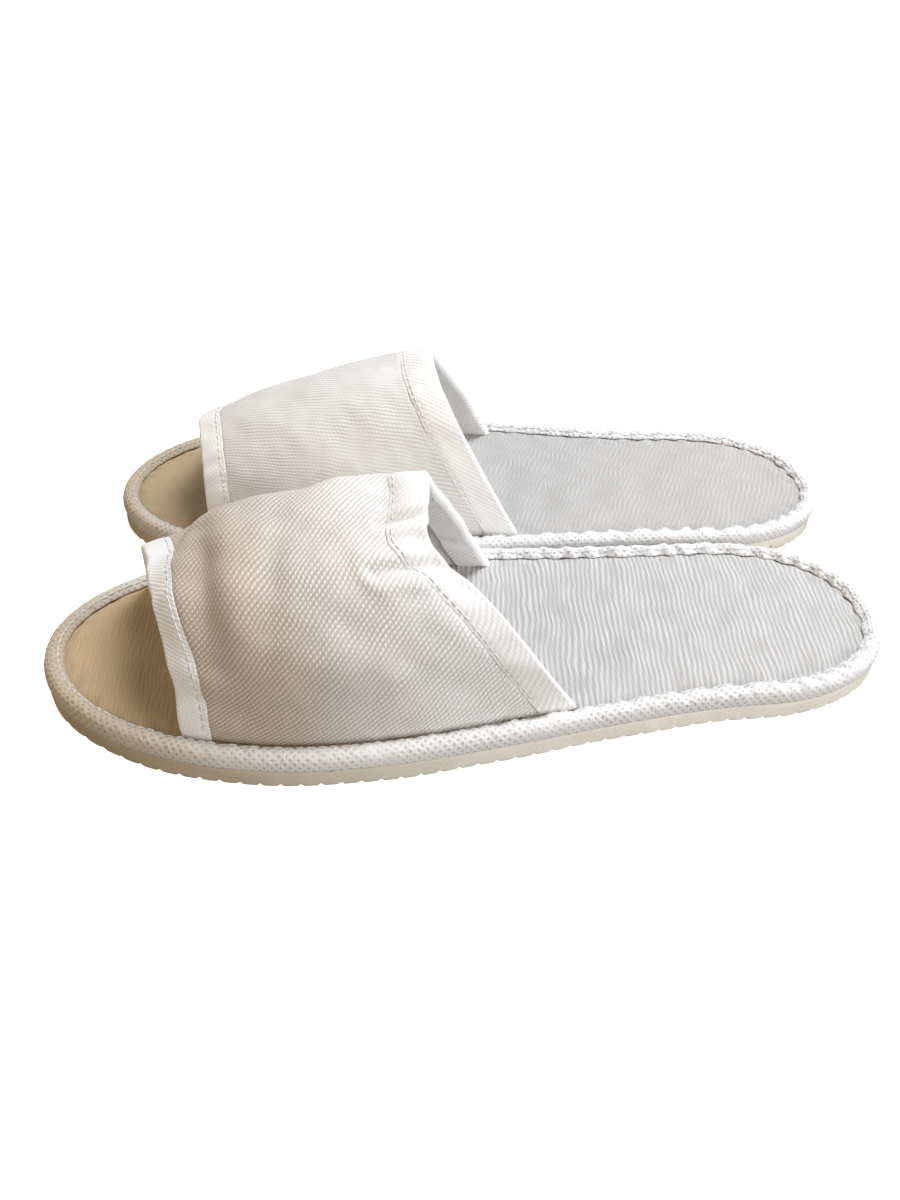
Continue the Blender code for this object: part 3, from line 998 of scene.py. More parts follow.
    def cover_height(self, flat: np.ndarray) -> tuple[np.ndarray, np.ndarray]:
        """The height of the insole cover's face: ribs, quilting and puckers towards the binding.

        Args:
            flat: (rows, across, 2) places.

        Returns:
            (rows, across) heights, and the painted shade of each place, darker in the valleys between the ribs.
        """
        look, top = self.look, self.sizes.cover[1]
        x, y = flat[:, :, 0], flat[:, :, 1]
        away = self.rim.away(flat.reshape(-1, 2)).reshape(x.shape)
        turn = math.radians(look.rib_slant)
        wobble = Ripple(look.seed, 26 * MM).at(x, y) * 0.17 + Ripple(look.seed + 1, 8 * MM).at(x, y) * 0.08
        phase = (x * math.cos(turn) + y * math.sin(turn)) / look.rib_pitch + wobble
        wave = 0.5 + 0.5 * np.cos(2 * math.pi * phase)
        patchy = 0.75 + 0.25 * Ripple(look.seed + 2, 12 * MM).at(x, y)
        plain = 0.3 + 0.7 * smoothstep(0.05, 0.12, x)  # under the toes the cloth is pulled flat
        ribs = look.rib_height * wave**1.3 * np.clip(patchy, 0.3, 1.1) * plain
        quilt = Ripple(look.seed + 3, 30 * MM).at(x, y) * 0.22 * MM
        inside = smoothstep(3 * MM, 14 * MM, away)
        crown = 0.7 * MM * inside
        tuck = -0.25 * MM * (1 - smoothstep(5 * MM, 9 * MM, away))
        pull = Ripple(look.seed + 4, 7 * MM).at(x, y) * 0.22 * MM * hump(away, 8 * MM, 4 * MM)
        height = top + (ribs + quilt * inside) * smoothstep(4 * MM, 8.5 * MM, away) + crown + tuck + pull
        # the second value is painted shade: darker in the rib valleys, fainter where the cloth is pulled flat under
        # the toes
        return height, 1 - (1 - np.clip(wave * (0.45 + 0.55 * patchy), 0, 1)) * plain

    def cover(self) -> bpy.types.Object:
        """The ribbed cloth over the insole."""
        xs = self.stations(self.sizes.layer_inset, 0.42 * MM)
        flat = self.strips(self.sizes.layer_inset, xs, 60)
        height, tone = self.cover_height(flat)
        high = np.concatenate([flat, height[:, :, None]], axis=2)
        low = high.copy()
        low[:, :, 2] = np.maximum(self.sizes.cover[0], high[:, :, 2] - 0.75 * MM)
        return self.shop.folded("insole_cloth", high, low, flat, tone=tone)

    def gather(self) -> np.ndarray:
        """How strongly the binding is puckered at each place round the sole, from 0 to 1."""
        return 0.25 + 0.75 * smoothstep(0.11, 0.20, self.rim.points[:, 0])

    def binding_sections(self) -> tuple[np.ndarray, np.ndarray, np.ndarray, np.ndarray]:
        """The binding's two faces all round the sole, its place on the cloth and the painted shade in its folds.

        Returns:
            (outside, inside, cloth, tone) for a ring.
        """
        rim, run = self.rim, self.rim.run
        knots = np.array(self.ROLL) * MM
        reach = distances(knots)
        t = np.linspace(0, 1, self.ROLL_PLACES)
        smooth = catmull(knots, reach / reach[-1], t)
        inner = np.array(self.UNDER_ROLL) * MM
        under = np.stack([np.interp(t, self.UNDER_SHARES, inner[:, k]) for k in range(2)], axis=1)
        gather = self.gather()
        turns = round(rim.length / self.PUCKER)
        uneven = Ripple(self.look.seed + 20, 40 * MM)
        fine = Ripple(self.look.seed + 21, 6 * MM)
        outside = np.empty((len(run), len(t), 3))
        inside = np.empty_like(outside)
        tone = np.empty((len(run), len(t)))
        for k, share in enumerate(t):
            spans = ((0.1, 0.4), (0.35, 0.85), (0.6, 1.0), (0.85, 1.0), (0.9, 1.0))
            low, lip, top, above, seam = (float(smoothstep(*span, share)) for span in spans)
            phase = turns * run / rim.length + 0.85 * share + 0.3 * uneven.at(run, 0 * run)
            fold = 0.5 + 0.5 * np.cos(2 * math.pi * phase)
            rise = gather * lip * (0.95 * fold - 0.6) * MM
            swell = 0.16 * MM * fine.at(run, np.full_like(run, share * 12 * MM)) * low * (0.4 + gather)
            inset = smooth[k, 0] + gather * top * (0.9 * fold - 0.4) * MM
            # painted shade: darker in the valleys between the binding's puckered folds
            tone[:, k] = 1 - gather * lip * (1 - fold) ** 2 * 0.4
            z = smooth[k, 1] + rise * (1 - seam) + swell * (1 - above)
            outside[:, k] = np.concatenate([rim.inset(inset), z[:, None]], axis=1)
            behind = np.full_like(run, under[k, 0])
            if share > 0.6:
                behind = np.minimum(behind + (inset - smooth[k, 0]), inset)
            inside[:, k] = np.concatenate([rim.inset(behind), np.full((len(run), 1), under[k, 1])], axis=1)
        around = distances(smooth)
        length = np.concatenate([run, [rim.length]])
        cloth = np.stack(np.broadcast_arrays(length[:, None], around[None, :]), axis=2)
        return outside, inside, cloth, tone

    def build(self) -> dict[str, bpy.types.Object]:
        """Makes every piece of the sole.

        Returns:
            The pieces by name.
        """
        s = self.sizes
        outside, inside, cloth, tone = self.binding_sections()
        before, line, after = (outside[:, self.STITCHED_PLACE + k] for k in (-1, 0, 1))
        up = unit(np.cross(np.roll(line, -1, axis=0) - np.roll(line, 1, axis=0), after - before))
        up *= np.sign(up[:, 2:3])
        return {
            "outsole": self.outsole(),
            "insole_board": self.layer("insole_stiffener", s.board, 3 * MM),
            "insole_foam": self.layer("insole_padding", s.foam, 2 * MM),
            "insole_cover": self.cover(),
            "edge_binding": self.shop.folded("rim_binding", outside, inside, cloth, ring=True, tone=tone),
            "binding_thread": self.shop.stitches("rim_stitches", line, up, 3.3 * MM, 2.8 * MM, 0.20 * MM, True),
        }


def catmull(knots: np.ndarray, places: np.ndarray, wanted: np.ndarray) -> np.ndarray:
    """A smooth curve through knots.

    Args:
        knots: (n, d) points.
        places: where each knot lies along the curve.
        wanted: the places asked for.

    Returns:
        (len(wanted), d) points.
    """
    slopes = np.gradient(knots, places, axis=0)
    i = np.clip(np.searchsorted(places, wanted) - 1, 0, len(knots) - 2)
    span = (places[i + 1] - places[i])[:, None]
    t = ((wanted - places[i]) / span[:, 0])[:, None]
    a, b, m, n = knots[i], knots[i + 1], slopes[i] * span, slopes[i + 1] * span
    return (
        a * (2 * t**3 - 3 * t**2 + 1) + m * (t**3 - 2 * t**2 + t) + b * (3 * t**2 - 2 * t**3) + n * (t**3 - t**2)
    )


# ---------------------------------------------------------------- the upper


@dataclass(frozen=True)
class Swell:
    """A soft rise, or a hollow where its height is below 0."""

    u: float
    v: float
    wide_u: float
    wide_v: float
    height: float  # millimetres
    lean: float = 0.0

    def at(self, u: np.ndarray, v: np.ndarray) -> np.ndarray:
        """Its height over the upper, in metres."""
        b = (v - self.v) / self.wide_v
        a = (u - self.u) / self.wide_u + self.lean * b
        return self.height * MM * np.exp(-(a * a + b * b))


@dataclass(frozen=True)
class Crease:
    """A fold line pressed into the upper, with a soft lip on each side."""

    start: tuple[float, float]
    end: tuple[float, float]
    depth: float  # millimetres
    width: float  # millimetres

    def at(self, u: np.ndarray, v: np.ndarray) -> np.ndarray:
        """Its height over the upper, in metres."""
        wide, tall = 95.0, 165.0
        ax, ay = self.start[0] * wide, self.start[1] * tall
        bx, by = self.end[0] * wide, self.end[1] * tall
        px, py = u * wide - ax, v * tall - ay
        dx, dy = bx - ax, by - ay
        along = (px * dx + py * dy) / (dx * dx + dy * dy)
        t = np.clip(along, 0, 1)
        off = np.sqrt((px - t * dx) ** 2 + (py - t * dy) ** 2) / self.width
        fade = np.sin(math.pi * np.clip(t, 0.08, 0.92)) ** 0.5
        return self.depth * MM * fade * (0.35 * np.exp(-((off - 1.9) ** 2)) - np.exp(-(off**2)))


@dataclass(frozen=True)
class UpperForm:
    """The shape of one upper: its two edges, its arch and how it is creased."""

    toe_feet: tuple[float, float] = (0.047, 0.030)
    instep_feet: tuple[float, float] = (0.167, 0.152)
    crest_x: tuple[float, float] = (0.036, 0.123)
    crest_z: tuple[float, float] = (0.044, 0.072)
    outer_fullness: tuple[float, float] = (2.3, 2.15)
    inner_fullness: tuple[float, float] = (2.3, 2.6)
    bulge: float = 0.007
    waist: tuple[float, float, float] = (0.0, 0.45, 0.2)  # pull of the instep's edge towards the toe, its v and width
    marks: tuple[object, ...] = ()
    seed: int = 40
    uneven: float = 0.45 * MM


@dataclass(frozen=True)
class UpperSizes:
    """Thicknesses of the upper's layers and widths of its hems."""

    inset: float = 0.0068
    foot_z: float = 0.0104
    fabric: float = 0.6 * MM
    gap: float = 0.3 * MM
    foam_depth: float = 0.9 * MM
    foam: float = 1.0 * MM
    lining_depth: float = 2.2 * MM
    lining: float = 0.5 * MM
    inner_leg: float = 3.0 * MM
    toe_hem: float = 9 * MM
    instep_hem: float = 11.5 * MM
    stitch_margin: float = 1.6 * MM
    stitch_pitch: float = 3.1 * MM


class Edge(Enum):
    """The upper's two open edges."""

    TOE = "toe"
    INSTEP = "instep"


class Upper:
    """One slipper's upper: outer cloth, foam, lining, two hems and their stitching."""

    def __init__(self, shop: Workshop, outline: SoleOutline, form: UpperForm, sizes: UpperSizes) -> None:
        """Works out the upper's face once, for every layer to follow.

        Args:
            shop: makes the pieces.
            outline: the sole's outline, which the upper's feet follow.
            form: its shape.
            sizes: its thicknesses.
        """
        self.shop = shop
        self.form = form
        self.sizes = sizes
        self.outer_rail, self.inner_rail = Rim(outline, 1200).sides(sizes.inset)
        self.ripple = Ripple(form.seed, 34 * MM)
        self.grain = Ripple(form.seed + 1, 13 * MM)

    def arch(self, u: np.ndarray, v: np.ndarray) -> np.ndarray:
        """The plain arch, before it is creased.

        Args:
            u: 0 at the toe's edge, 1 at the instep's.
            v: 0 at the outer foot, 0.5 on the crest, 1 at the inner foot.

        Returns:
            (..., 3) places.
        """
        f = self.form
        u, v = np.broadcast_arrays(np.asarray(u, float), np.asarray(v, float))
        phi = math.pi * v
        cos, sin = np.cos(phi), np.sin(phi)
        inner = smoothstep(0.42, 0.58, v)
        full = between(f.outer_fullness, u) * (1 - inner) + between(f.inner_fullness, u) * inner
        rho = (np.abs(cos) ** full + np.abs(sin) ** full) ** (-1 / full)
        rise, spread = sin * rho, cos * rho
        outer_x, inner_x = (between(feet, u) for feet in zip(f.toe_feet, f.instep_feet))
        outer_y = np.interp(outer_x, self.outer_rail[:, 0], self.outer_rail[:, 1])
        inner_y = np.interp(inner_x, self.inner_rail[:, 0], self.inner_rail[:, 1])
        outer_side = v < 0.5
        foot_x = np.where(outer_side, outer_x, inner_x)
        foot_y = np.where(outer_side, outer_y, inner_y)
        crest_x = between(f.crest_x, u)
        crest_z = between(f.crest_z, u) + f.bulge * np.sin(math.pi * u)
        lean = (1 - np.abs(spread)) * (1 - u) + rise * u
        x = foot_x + (crest_x - foot_x) * lean
        x = x - f.waist[0] * hump(v, f.waist[1], f.waist[2]) * u**2
        y = foot_y * np.abs(spread)
        z = self.sizes.foot_z + (crest_z - self.sizes.foot_z) * rise
        return np.stack([x, y, z], axis=-1)

    def relief(self, u: np.ndarray, v: np.ndarray) -> np.ndarray:
        """How far the creased cloth stands out from the plain arch.

        Args:
            u: places from toe to instep.
            v: places over the foot.

        Returns:
            One height for each place, in metres.
        """
        u, v = np.broadcast_arrays(np.asarray(u, float), np.asarray(v, float))
        total = self.form.uneven * (self.ripple.at(u * 0.095, v * 0.165) + 0.3 * self.grain.at(u * 0.095, v * 0.165))
        for mark in self.form.marks:
            total = total + mark.at(u, v)
        held = smoothstep(0.0, 0.09, v) * smoothstep(0.0, 0.09, 1 - v)
        return total * held

    def face(self, u: np.ndarray, v: np.ndarray) -> np.ndarray:
        """The creased outer face: the arch, moved out along its normal by the relief."""
        return self.arch(u, v) + self.normal(u, v, self.arch) * self.relief(u, v)[..., None]

    def normal(self, u: np.ndarray, v: np.ndarray, surface: object = None) -> np.ndarray:
        """The outward direction, level at the upper's feet.

        Args:
            u: places from toe to instep.
            v: places over the foot.
            surface: the surface meant, the creased face if it is left out.

        Returns:
            (..., 3) directions.
        """
        surface = surface or self.face
        step = 0.004
        u, v = np.broadcast_arrays(np.asarray(u, float), np.asarray(v, float))
        low, high = np.clip(v - step, 0, 1), np.clip(v + step, 0, 1)
        along = surface(u + step, v) - surface(u - step, v)
        around = surface(u, high) - surface(u, low)
        out = np.cross(along, around)
        foot = np.minimum(v, 1 - v)
        out[..., 2] *= smoothstep(-0.0001, 0.02, foot)
        return unit(out)

    def lengths(self, v: np.ndarray) -> tuple[np.ndarray, np.ndarray]:
        """Distances along the face from the toe's edge, for each row.

        Args:
            v: the rows.

        Returns:
            (u samples, (rows, samples) distances).
        """
        u = np.linspace(0, 1, 81)
        path = self.face(u[None, :], v[:, None])
        steps = np.linalg.norm(np.diff(path, axis=1), axis=2)
        return u, np.concatenate([np.zeros((len(v), 1)), np.cumsum(steps, axis=1)], axis=1)

    def places(self, v: np.ndarray, edge: Edge, distance: np.ndarray) -> np.ndarray:
        """The u of places at a distance from an edge.

        Args:
            v: the rows.
            edge: the edge that distances start from.
            distance: (across,) or (rows, across) distances, at least 0.

        Returns:
            (rows, across) values of u.
        """
        u, run = self.lengths(v)
        distance = np.broadcast_to(distance, (len(v), np.shape(distance)[-1]))
        made = np.empty(distance.shape)
        for row in range(len(v)):
            wanted = distance[row] if edge is Edge.TOE else run[row, -1] - distance[row]
            made[row] = np.interp(wanted, run[row], u)
        return made

    def rows(self, spacing: float) -> np.ndarray:
        """Evenly spaced rows over the foot."""
        v = np.linspace(0, 1, 400)
        path = self.arch(np.full_like(v, 0.6), v)
        run = distances(path)
        return np.interp(np.linspace(0, run[-1], int(run[-1] / spacing) + 1), run, v)

    def across_run(self, v: np.ndarray) -> np.ndarray:
        """How far each row is from the outer foot, over the middle of the upper."""
        fine = np.linspace(0, 1, 400)
        path = self.arch(np.full_like(fine, 0.6), fine)
        run = distances(path)
        return np.interp(v, fine, run)

    def layer(self, name: str, depth: float, thickness: float, spacing: float, puff: float = 0.0) -> bpy.types.Object:
        """A layer from one hem's nose to the other's.

        Args:
            name: the piece's name.
            depth: how far its outer side is below the upper's face.
            thickness: its thickness.
            spacing: how far apart its points are.
            puff: how far it swells between the two hems.

        Returns:
            The new object.
        """
        v = self.rows(spacing)
        u_fine, run = self.lengths(v)
        total = run[:, -1]
        count = int(total.max() / spacing)
        share = np.linspace(0, 1, count)
        nose = self.sizes.fabric + self.sizes.gap
        distance = nose + (total[:, None] - 2 * nose) * share[None, :]
        u = self.places(v, Edge.TOE, distance)
        rows = v[:, None]
        toe_gap = distance - self.sizes.toe_hem
        instep_gap = total[:, None] - distance - self.sizes.instep_hem
        free = smoothstep(-1.2 * MM, 0.8 * MM, toe_gap) * smoothstep(-1.2 * MM, 0.8 * MM, instep_gap)
        held = smoothstep(0.0, 0.05, rows) * smoothstep(0.0, 0.05, 1 - rows)
        out = puff * free * held
        face, normal = self.face(u, rows), self.normal(u, rows)
        outside = face + normal * (out - depth)[..., None]
        inside = face + normal * (out - depth - thickness)[..., None]
        cloth = np.stack(np.broadcast_arrays(distance, self.across_run(v)[:, None]), axis=2)
        return self.shop.folded(name, outside, inside, cloth)

    def hem(self, name: str, edge: Edge, width: float) -> tuple[bpy.types.Object, np.ndarray, np.ndarray]:
        """A band of cloth folded over one open edge.

        Args:
            name: the piece's name.
            edge: which edge.
            width: how wide its outer leg is.

        Returns:
            (the object, its stitch line, the directions out of the cloth along that line).
        """
        s = self.sizes
        v = self.rows(0.62 * MM)
        top, bottom = s.gap + s.fabric, -(s.inner_leg + s.fabric)
        middle, half = (top + bottom) / 2, (top - bottom) / 2
        leg = np.linspace(width, 0.8 * MM, 20)
        turn = np.linspace(math.pi / 2, -math.pi / 2, 11)
        back = np.linspace(0.8 * MM, width * 0.92, 14)
        nose = 1.5 * MM
        distance = np.concatenate([leg, 0.4 * MM - nose * np.cos(turn), back])
        depth = np.concatenate([np.full(len(leg), top), middle + half * np.sin(turn), np.full(len(back), bottom)])
        depth[:6] = np.interp(leg[:6], [width - 2.6 * MM, width], [top, s.gap + 0.28 * MM])
        section = np.stack([distance, depth], axis=1)
        ahead = unit(np.gradient(section, axis=0))
        aside = np.stack([-ahead[:, 1], ahead[:, 0]], axis=1) * 0.5 * MM
        inner = section - aside
        if np.abs(inner[16, 1]) > np.abs(section[16, 1]):
            inner = section + aside
        inner[0], inner[1] = (width, s.gap - 0.05 * MM), (section[1, 0], s.gap)
        outside, inside = self.swept(section, v, edge, width), self.swept(inner, v, edge, width)
        run = distances(section)
        cloth = np.stack(np.broadcast_arrays(run[None, :], self.across_run(v)[:, None]), axis=2)
        band = self.shop.folded(name, outside, inside, cloth)
        line_section = np.array([[width - s.stitch_margin, top - 0.22 * MM]])
        start = 0.0055 / 0.165  # the stitches begin above the binding
        line_v = v[(v > start) & (v < 1 - start)]
        line = self.swept(line_section, line_v, edge, 1.0)[:, 0]
        u = self.places(line_v, edge, np.array([width - s.stitch_margin]))
        return band, line, self.normal(u, line_v[:, None])[:, 0]

    def swept(self, section: np.ndarray, v: np.ndarray, edge: Edge, width: float) -> np.ndarray:
        """Carries a hem's section over the foot.

        Args:
            section: (across, 2) distances from the edge and heights above the face.
            v: the rows.
            edge: which edge.
            width: the hem's width, where its stitching pulls it in.

        Returns:
            (rows, across, 3) places.
        """
        s = self.sizes
        distance, height = section[:, 0], section[:, 1]
        u = self.places(v, edge, np.maximum(distance, 0.0))
        rows = v[:, None]
        face, normal = self.face(u, rows), self.normal(u, rows)
        end, near_end = (1.0, 0.98) if edge is Edge.INSTEP else (0.0, 1 - 0.98)
        beyond = self.face(np.full_like(v, end), v) - self.face(np.full_like(v, near_end), v)
        beyond = unit(beyond)[:, None, :]
        run = self.across_run(v)[:, None]
        beat = 0.5 + 0.5 * np.cos(2 * math.pi * run / s.stitch_pitch)
        on_top = height[None, :] > 0
        pulled = hump(distance[None, :], width - s.stitch_margin, 1.3 * MM) * on_top
        wavy = self.grain.at(distance[None, :] * 0.4, run) * 0.14 * MM
        lift = height[None, :] - pulled * (0.10 + 0.16 * beat) * MM + wavy * on_top * smoothstep(0.0, 0.05, rows)
        place = face + normal * lift[..., None]
        return place + beyond * np.maximum(-distance, 0.0)[None, :, None]

    def build(self) -> dict[str, bpy.types.Object]:
        """Makes every piece of the upper.

        Returns:
            The pieces by name.
        """
        s = self.sizes
        toe, toe_line, toe_up = self.hem("toe_edge_hem", Edge.TOE, s.toe_hem)
        instep, instep_line, instep_up = self.hem("instep_edge_hem", Edge.INSTEP, s.instep_hem)
        stitch = (s.stitch_pitch, 2.6 * MM, 0.20 * MM, False)
        return {
            "upper_outer": self.layer("upper_cloth", 0.0, s.fabric, 0.85 * MM, puff=0.7 * MM),
            "upper_foam": self.layer("upper_padding", s.foam_depth, s.foam, 1.6 * MM),
            "upper_lining": self.layer("upper_inside_cloth", s.lining_depth, s.lining, 1.3 * MM),
            "toe_hem": toe,
            "instep_hem": instep,
            "toe_hem_thread": self.shop.stitches("toe_hem_stitches", toe_line, toe_up, *stitch),
            "instep_hem_thread": self.shop.stitches("instep_hem_stitches", instep_line, instep_up, *stitch),
        }


# ---------------------------------------------------------------- one slipper


@dataclass(frozen=True)
class Finishes:
    """The finish of every kind of piece."""

    outsole: RubberFinish = RubberFinish("ivory_foam_rubber")
    board: PaddingFinish = PaddingFinish("fibre_card", (0.47, 0.38, 0.26), (0.36, 0.28, 0.18), 1.2 * MM)
    padding: PaddingFinish = PaddingFinish("cream_padding_foam", (0.82, 0.80, 0.70), (0.62, 0.60, 0.50), 0.8 * MM)
    # the insole cloth is greyer than the upper's white: partly its own colour, partly painted shade of its ribs
    cover: ClothFinish = ClothFinish(
        "ribbed_insole_cloth", Weave.RIB, (0.70, 0.692, 0.68), (0.52, 0.511, 0.498), 1.2 * MM, 0.0, 0.12 * MM, 0.5,
        aged=(0.78, 0.57, 0.33), shaded=(0.68, 0.67, 0.66),
    )
    # the right slipper's insole cloth is a darker copy of the left's, which is painted shade; its ribs run at another
    # slant
    cover_right: ClothFinish = ClothFinish(
        "ribbed_insole_cloth_cross_cut", Weave.RIB, (0.58, 0.568, 0.548), (0.44, 0.43, 0.415), 1.2 * MM, 0.0,
        0.12 * MM, 0.5, aged=(0.80, 0.61, 0.38), shaded=(0.80, 0.79, 0.78),
    )
    binding: ClothFinish = ClothFinish(
        "braided_binding_cloth", Weave.KNIT, (0.83, 0.83, 0.825), (0.56, 0.55, 0.54), 2.7 * MM, 0.0, 0.30 * MM, 0.5,
        soft=0.75, shaded=(0.66, 0.65, 0.62), aged=(0.62, 0.51, 0.37), fade=(0.03, 0.13), around=0.70,
    )
    outer: ClothFinish = ClothFinish(
        "brushed_twill", Weave.TWILL, pitch=1.4 * MM, slant=-48.0, aged=(0.66, 0.57, 0.48), fade=(0.02, 0.085)
    )
    # the right slipper's outer cloth is a darker copy of the left's, which is painted shade; its twill runs at
    # another slant
    outer_right: ClothFinish = ClothFinish(
        "brushed_twill_cross_cut", Weave.TWILL, (0.74, 0.732, 0.71), (0.55, 0.54, 0.517), pitch=1.35 * MM,
        slant=-72.0, relief=0.10 * MM, soft=0.85,
    )
    hem: ClothFinish = ClothFinish(
        "soft_hem_twill", Weave.TWILL, (0.89, 0.89, 0.88), (0.71, 0.70, 0.68), pitch=1.5 * MM, slant=-48.0,
        relief=0.10 * MM, fuzz=0.6, soft=0.7,
    )
    lining: ClothFinish = ClothFinish(
        "plain_lining_cloth", Weave.PLAIN, (0.83, 0.83, 0.82), (0.66, 0.65, 0.63), 0.9 * MM, 0.0, 0.1 * MM
    )
    thread: ThreadFinish = ThreadFinish("white_sewing_thread")


class Slipper:
    """One slipper: a sole placed by its flex line, and an upper on its forefoot."""

    def __init__(self, side: Side, insole: InsoleLook, form: UpperForm) -> None:
        """Sets up one slipper.

        Args:
            side: which foot it is for.
            insole: how its insole cloth lies.
            form: the shape of its upper.
        """
        self.side = side
        self.sizes = SoleSizes()
        self.outline = SoleOutline()
        self.stand = Stand.from_flex(side, self.sizes.flex_x, self.sizes.flex_z)
        shop = Workshop(self.stand)
        self.sole = Sole(shop, self.outline, self.sizes, insole)
        self.upper = Upper(shop, self.outline, form, UpperSizes())

    def build(self, looks: dict[str, bpy.types.Material]) -> None:
        """Makes, dresses and fastens every piece.

        Args:
            looks: each finish's material by its field's name.
        """
        sole = self.sole.build()
        upper = self.upper.build()
        pieces = {**sole, **upper}
        kinds = {
            "outsole": ("outsole", "outsole"),
            "insole_board": ("board", "insole_board"),
            "insole_foam": ("padding", "insole_foam"),
            "insole_cover": ("cover", "insole_cover"),
            "edge_binding": ("binding", "edge_binding"),
            "binding_thread": ("thread", "thread"),
            "upper_outer": ("outer", "upper_fabric"),
            "upper_foam": ("padding", "upper_foam"),
            "upper_lining": ("lining", "upper_lining"),
            "toe_hem": ("hem", "hem"),
            "instep_hem": ("hem", "hem"),
            "toe_hem_thread": ("thread", "thread"),
            "instep_hem_thread": ("thread", "thread"),
        }
        for node, piece in pieces.items():
            finish, slot = kinds[node]
            own = f"{finish}_{self.side.value}"
            piece.data.materials.append(looks.get(own, looks[finish]))
        self.fasten(sole, upper)
        for piece in pieces.values():
            LOG.info("%s: %d faces", piece.name, len(piece.data.polygons))

    def fasten(self, sole: dict[str, bpy.types.Object], upper: dict[str, bpy.types.Object]) -> None:
        """Hides the solids that each piece stands for, puts each piece of the upper on the forefoot body and leaves
        the sole's pieces fixed where they stand.

        Args:
            sole: the sole's pieces.
            upper: the upper's pieces.
        """
        front, heel = self.stand.body("forefoot"), self.stand.body("heel")
        start, end = self.stand.world(np.array([(self.sizes.bend_start, 0, 0), (self.sizes.bend_end, 0, 0)]))
        for node, piece in sole.items():
            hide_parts(f"{self.side.value}_{node}_front", f"{self.side.value}_{node}_heel")
            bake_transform(piece)
        for node, piece in upper.items():
            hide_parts(f"{self.side.value}_{node}")
            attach(piece, front)


# ---------------------------------------------------------------- the studio


@dataclass(frozen=True)
class Lamp:
    """One soft square light."""

    name: str
    direction: tuple[float, float, float]  # from the pair towards the light
    distance: float
    size: float
    power: float
    colour: Colour

    def build(self, target: Vector) -> None:
        """Hangs the light, aimed at target."""
        data = bpy.data.lights.new(self.name, "AREA")
        data.shape = "SQUARE"
        data.size = self.size
        data.energy = self.power
        data.color = self.colour
        made = bpy.data.objects.new(self.name, data)
        way = Vector(self.direction).normalized()
        made.location = target + way * self.distance
        made.rotation_mode = "QUATERNION"
        made.rotation_quaternion = way.to_track_quat("Z", "Y")
        bpy.context.scene.collection.objects.link(made)


@dataclass(frozen=True)
class Camera:
    """The camera, by its angles around the pair."""

    azimuth: float = -8.81
    elevation: float = 37.11
    roll: float = 2.38
    distance: float = 0.3893
    aim: tuple[float, float] = (-0.01184, -0.01903)  # from the middle of the pair, on the floor
    lens: float = 31.44

    def build(self, middle: Vector) -> None:
        """Sets the camera up.

        Args:
            middle: the middle of the pair.
        """
        data = bpy.data.cameras.new("studio_camera")
        data.lens = self.lens
        data.sensor_width = 36.0
        data.clip_start = 0.01
        data.clip_end = 50.0
        made = bpy.data.objects.new("studio_camera", data)
        a, e, turn = (math.radians(x) for x in (self.azimuth, self.elevation, self.roll))
        back = Vector((math.sin(a) * math.cos(e), -math.cos(a) * math.cos(e), math.sin(e)))
        right = (-back).cross(Vector((0, 0, 1))).normalized()
        up = right.cross(-back).normalized()
        rolled_right = right * math.cos(turn) + up * math.sin(turn)
        rolled_up = up * math.cos(turn) - right * math.sin(turn)
        target = Vector((middle.x + self.aim[0], middle.y + self.aim[1], 0.0))
        turned = Matrix((rolled_right, rolled_up, back)).transposed()
        made.matrix_world = Matrix.Translation(target + back * self.distance) @ turned.to_4x4()
        bpy.context.scene.collection.objects.link(made)
        bpy.context.scene.camera = made


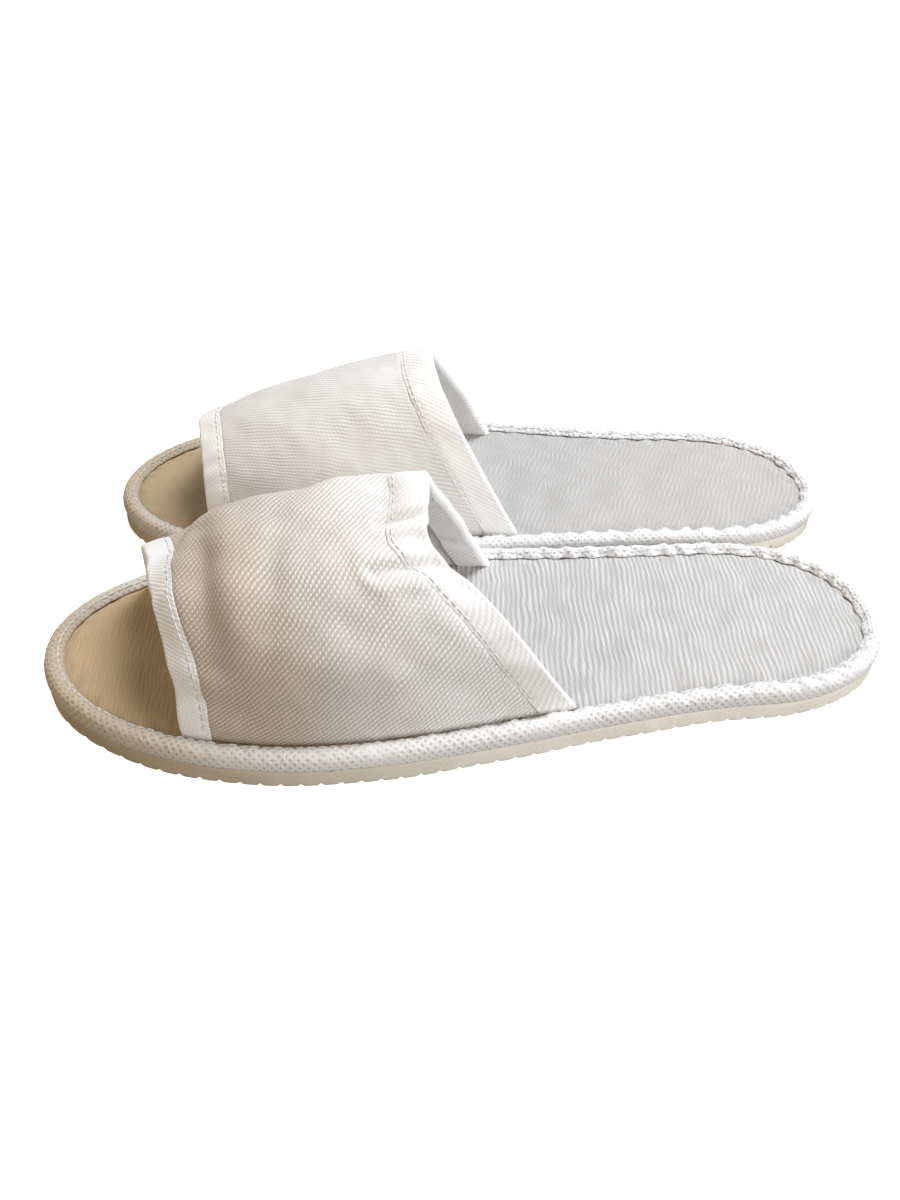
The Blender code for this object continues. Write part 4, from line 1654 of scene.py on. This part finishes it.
@dataclass(frozen=True)
class Studio:
    """A pale floor, a pale surround, soft lights and the camera."""

    camera: Camera = Camera()
    lamps: tuple[Lamp, ...] = (
        Lamp("window_right", (0.34, 0.26, 0.90), 1.2, 0.6, 17.5, (0.90, 0.94, 1.0)),
        Lamp("front_soft", (0.70, -0.68, 0.20), 1.4, 0.8, 14.0, (0.98, 0.98, 1.0)),
        Lamp("warm_left", (-0.84, -0.38, 0.38), 1.2, 0.8, 5.0, (1.0, 0.84, 0.66)),
    )
    floor_glow: float = 0.95
    floor_size: float = 12.0
    ambient: Colour = (0.19, 0.17, 0.15)

    def glowing(self, name: str, colour: Colour, glow: float) -> bpy.types.Material:
        """A pale matt surface that is a little bright by itself, so that it stays clean and white."""
        bench = Bench(name, 0.9, 0.0)
        bench.shader.inputs["Emission Color"].default_value = (1.0, 1.0, 1.0, 1.0)
        bench.shader.inputs["Emission Strength"].default_value = glow
        place = bench.add("ShaderNodeTexCoord", {}, {}, out="Object")
        mottle = bench.add("ShaderNodeTexNoise", {}, {"Vector": place, "Scale": 3.0, "Detail": 1.0})
        tone = bench.blend(mottle.step(0.2, 0.8), tuple(c * 0.985 for c in colour), colour)
        bench.tree.links.new(tone.socket, bench.shader.inputs["Base Color"])
        return bench.material

    def surface(self, name: str, mesh: bpy.types.Mesh, material: bpy.types.Material) -> bpy.types.Object:
        """A floor or surround that the camera sees and the slippers' cloth doesn't pick up."""
        mesh.materials.append(material)
        made = bpy.data.objects.new(name, mesh)
        bpy.context.scene.collection.objects.link(made)
        made.visible_diffuse = False
        made.visible_glossy = False
        return made

    def build(self) -> None:
        """Makes the floor, surround, lights and camera."""
        low, high = CAD_BOX
        middle = (low + high) / 2
        half = self.floor_size / 2
        floor = bpy.data.meshes.new("studio_floor")
        z = low.z - 0.15 * MM
        corners = [(-half, -half, z), (half, -half, z), (half, half, z), (-half, half, z)]
        floor.from_pydata(corners, [], [(0, 1, 2, 3)])
        self.surface("studio_floor", floor, self.glowing("pale_floor", (0.9, 0.9, 0.9), self.floor_glow))
        bm = bmesh.new()
        bmesh.ops.create_uvsphere(bm, u_segments=48, v_segments=24, radius=half)
        bmesh.ops.reverse_faces(bm, faces=bm.faces)
        dome = bpy.data.meshes.new("studio_surround")
        bm.to_mesh(dome)
        bm.free()
        surround = self.surface("studio_surround", dome, self.glowing("pale_surround", (0.0, 0.0, 0.0), 1.0))
        surround.visible_shadow = False
        for lamp in self.lamps:
            lamp.build(Vector((middle.x, middle.y, 0.02)))
        world = bpy.data.worlds.new("studio_air")
        world.use_nodes = True
        world.node_tree.nodes["Background"].inputs[0].default_value = (*self.ambient, 1.0)
        bpy.context.scene.world = world
        bpy.context.scene.view_settings.view_transform = "Standard"
        self.camera.build(middle)


# ---------------------------------------------------------------- the pair


LEFT_FORM = UpperForm(
    crest_x=(0.036, 0.1235),
    crest_z=(0.044, 0.071),
    waist=(0.0075, 0.32, 0.09),
    outer_fullness=(2.2, 2.15),
    inner_fullness=(1.9, 1.08),
    marks=(
        Swell(0.20, 0.34, 0.19, 0.15, 4.0),
        Swell(0.27, 0.45, 0.13, 0.10, 2.2),
        Swell(0.07, 0.56, 0.09, 0.13, -5.0),
        Crease((0.13, 0.20), (0.21, 0.49), 2.4, 4.5),
        Crease((0.30, 0.24), (0.46, 0.44), 0.8, 3.5),
        Swell(0.55, 0.20, 0.25, 0.12, 1.5),
        Swell(0.84, 0.43, 0.07, 0.05, -1.6),
        Swell(0.97, 0.26, 0.05, 0.03, -1.0),
        Crease((0.80, 0.375), (1.02, 0.375), 1.3, 2.0),
        Crease((0.70, 0.285), (1.02, 0.275), 2.2, 2.2),
    ),
)

RIGHT_FORM = UpperForm(
    toe_feet=(0.040, 0.0385),
    instep_feet=(0.152, 0.1546),
    crest_x=(0.033, 0.122),
    crest_z=(0.0405, 0.0690),
    bulge=0.0035,
    outer_fullness=(1.6, 1.35),
    inner_fullness=(2.3, 2.6),
    marks=(Swell(0.35, 0.62, 0.25, 0.12, 1.2),),
    seed=60,
    uneven=0.3 * MM,
)

RIGHT_INSOLE = InsoleLook(rib_pitch=1.9 * MM, rib_height=0.34 * MM, rib_slant=24.0, seed=90)


def main() -> None:
    """Builds the pair and its studio."""
    logging.basicConfig(level=logging.INFO, format="%(name)s: %(message)s")
    finishes = Finishes()
    looks = {name: getattr(finishes, name).material() for name in finishes.__dataclass_fields__}
    pair = (
        Slipper(Side.LEFT, InsoleLook(), LEFT_FORM),
        Slipper(Side.RIGHT, RIGHT_INSOLE, RIGHT_FORM),
    )
    for slipper in pair:
        slipper.build(looks)
    Studio().build()


if __name__ == "__main__":
    main()
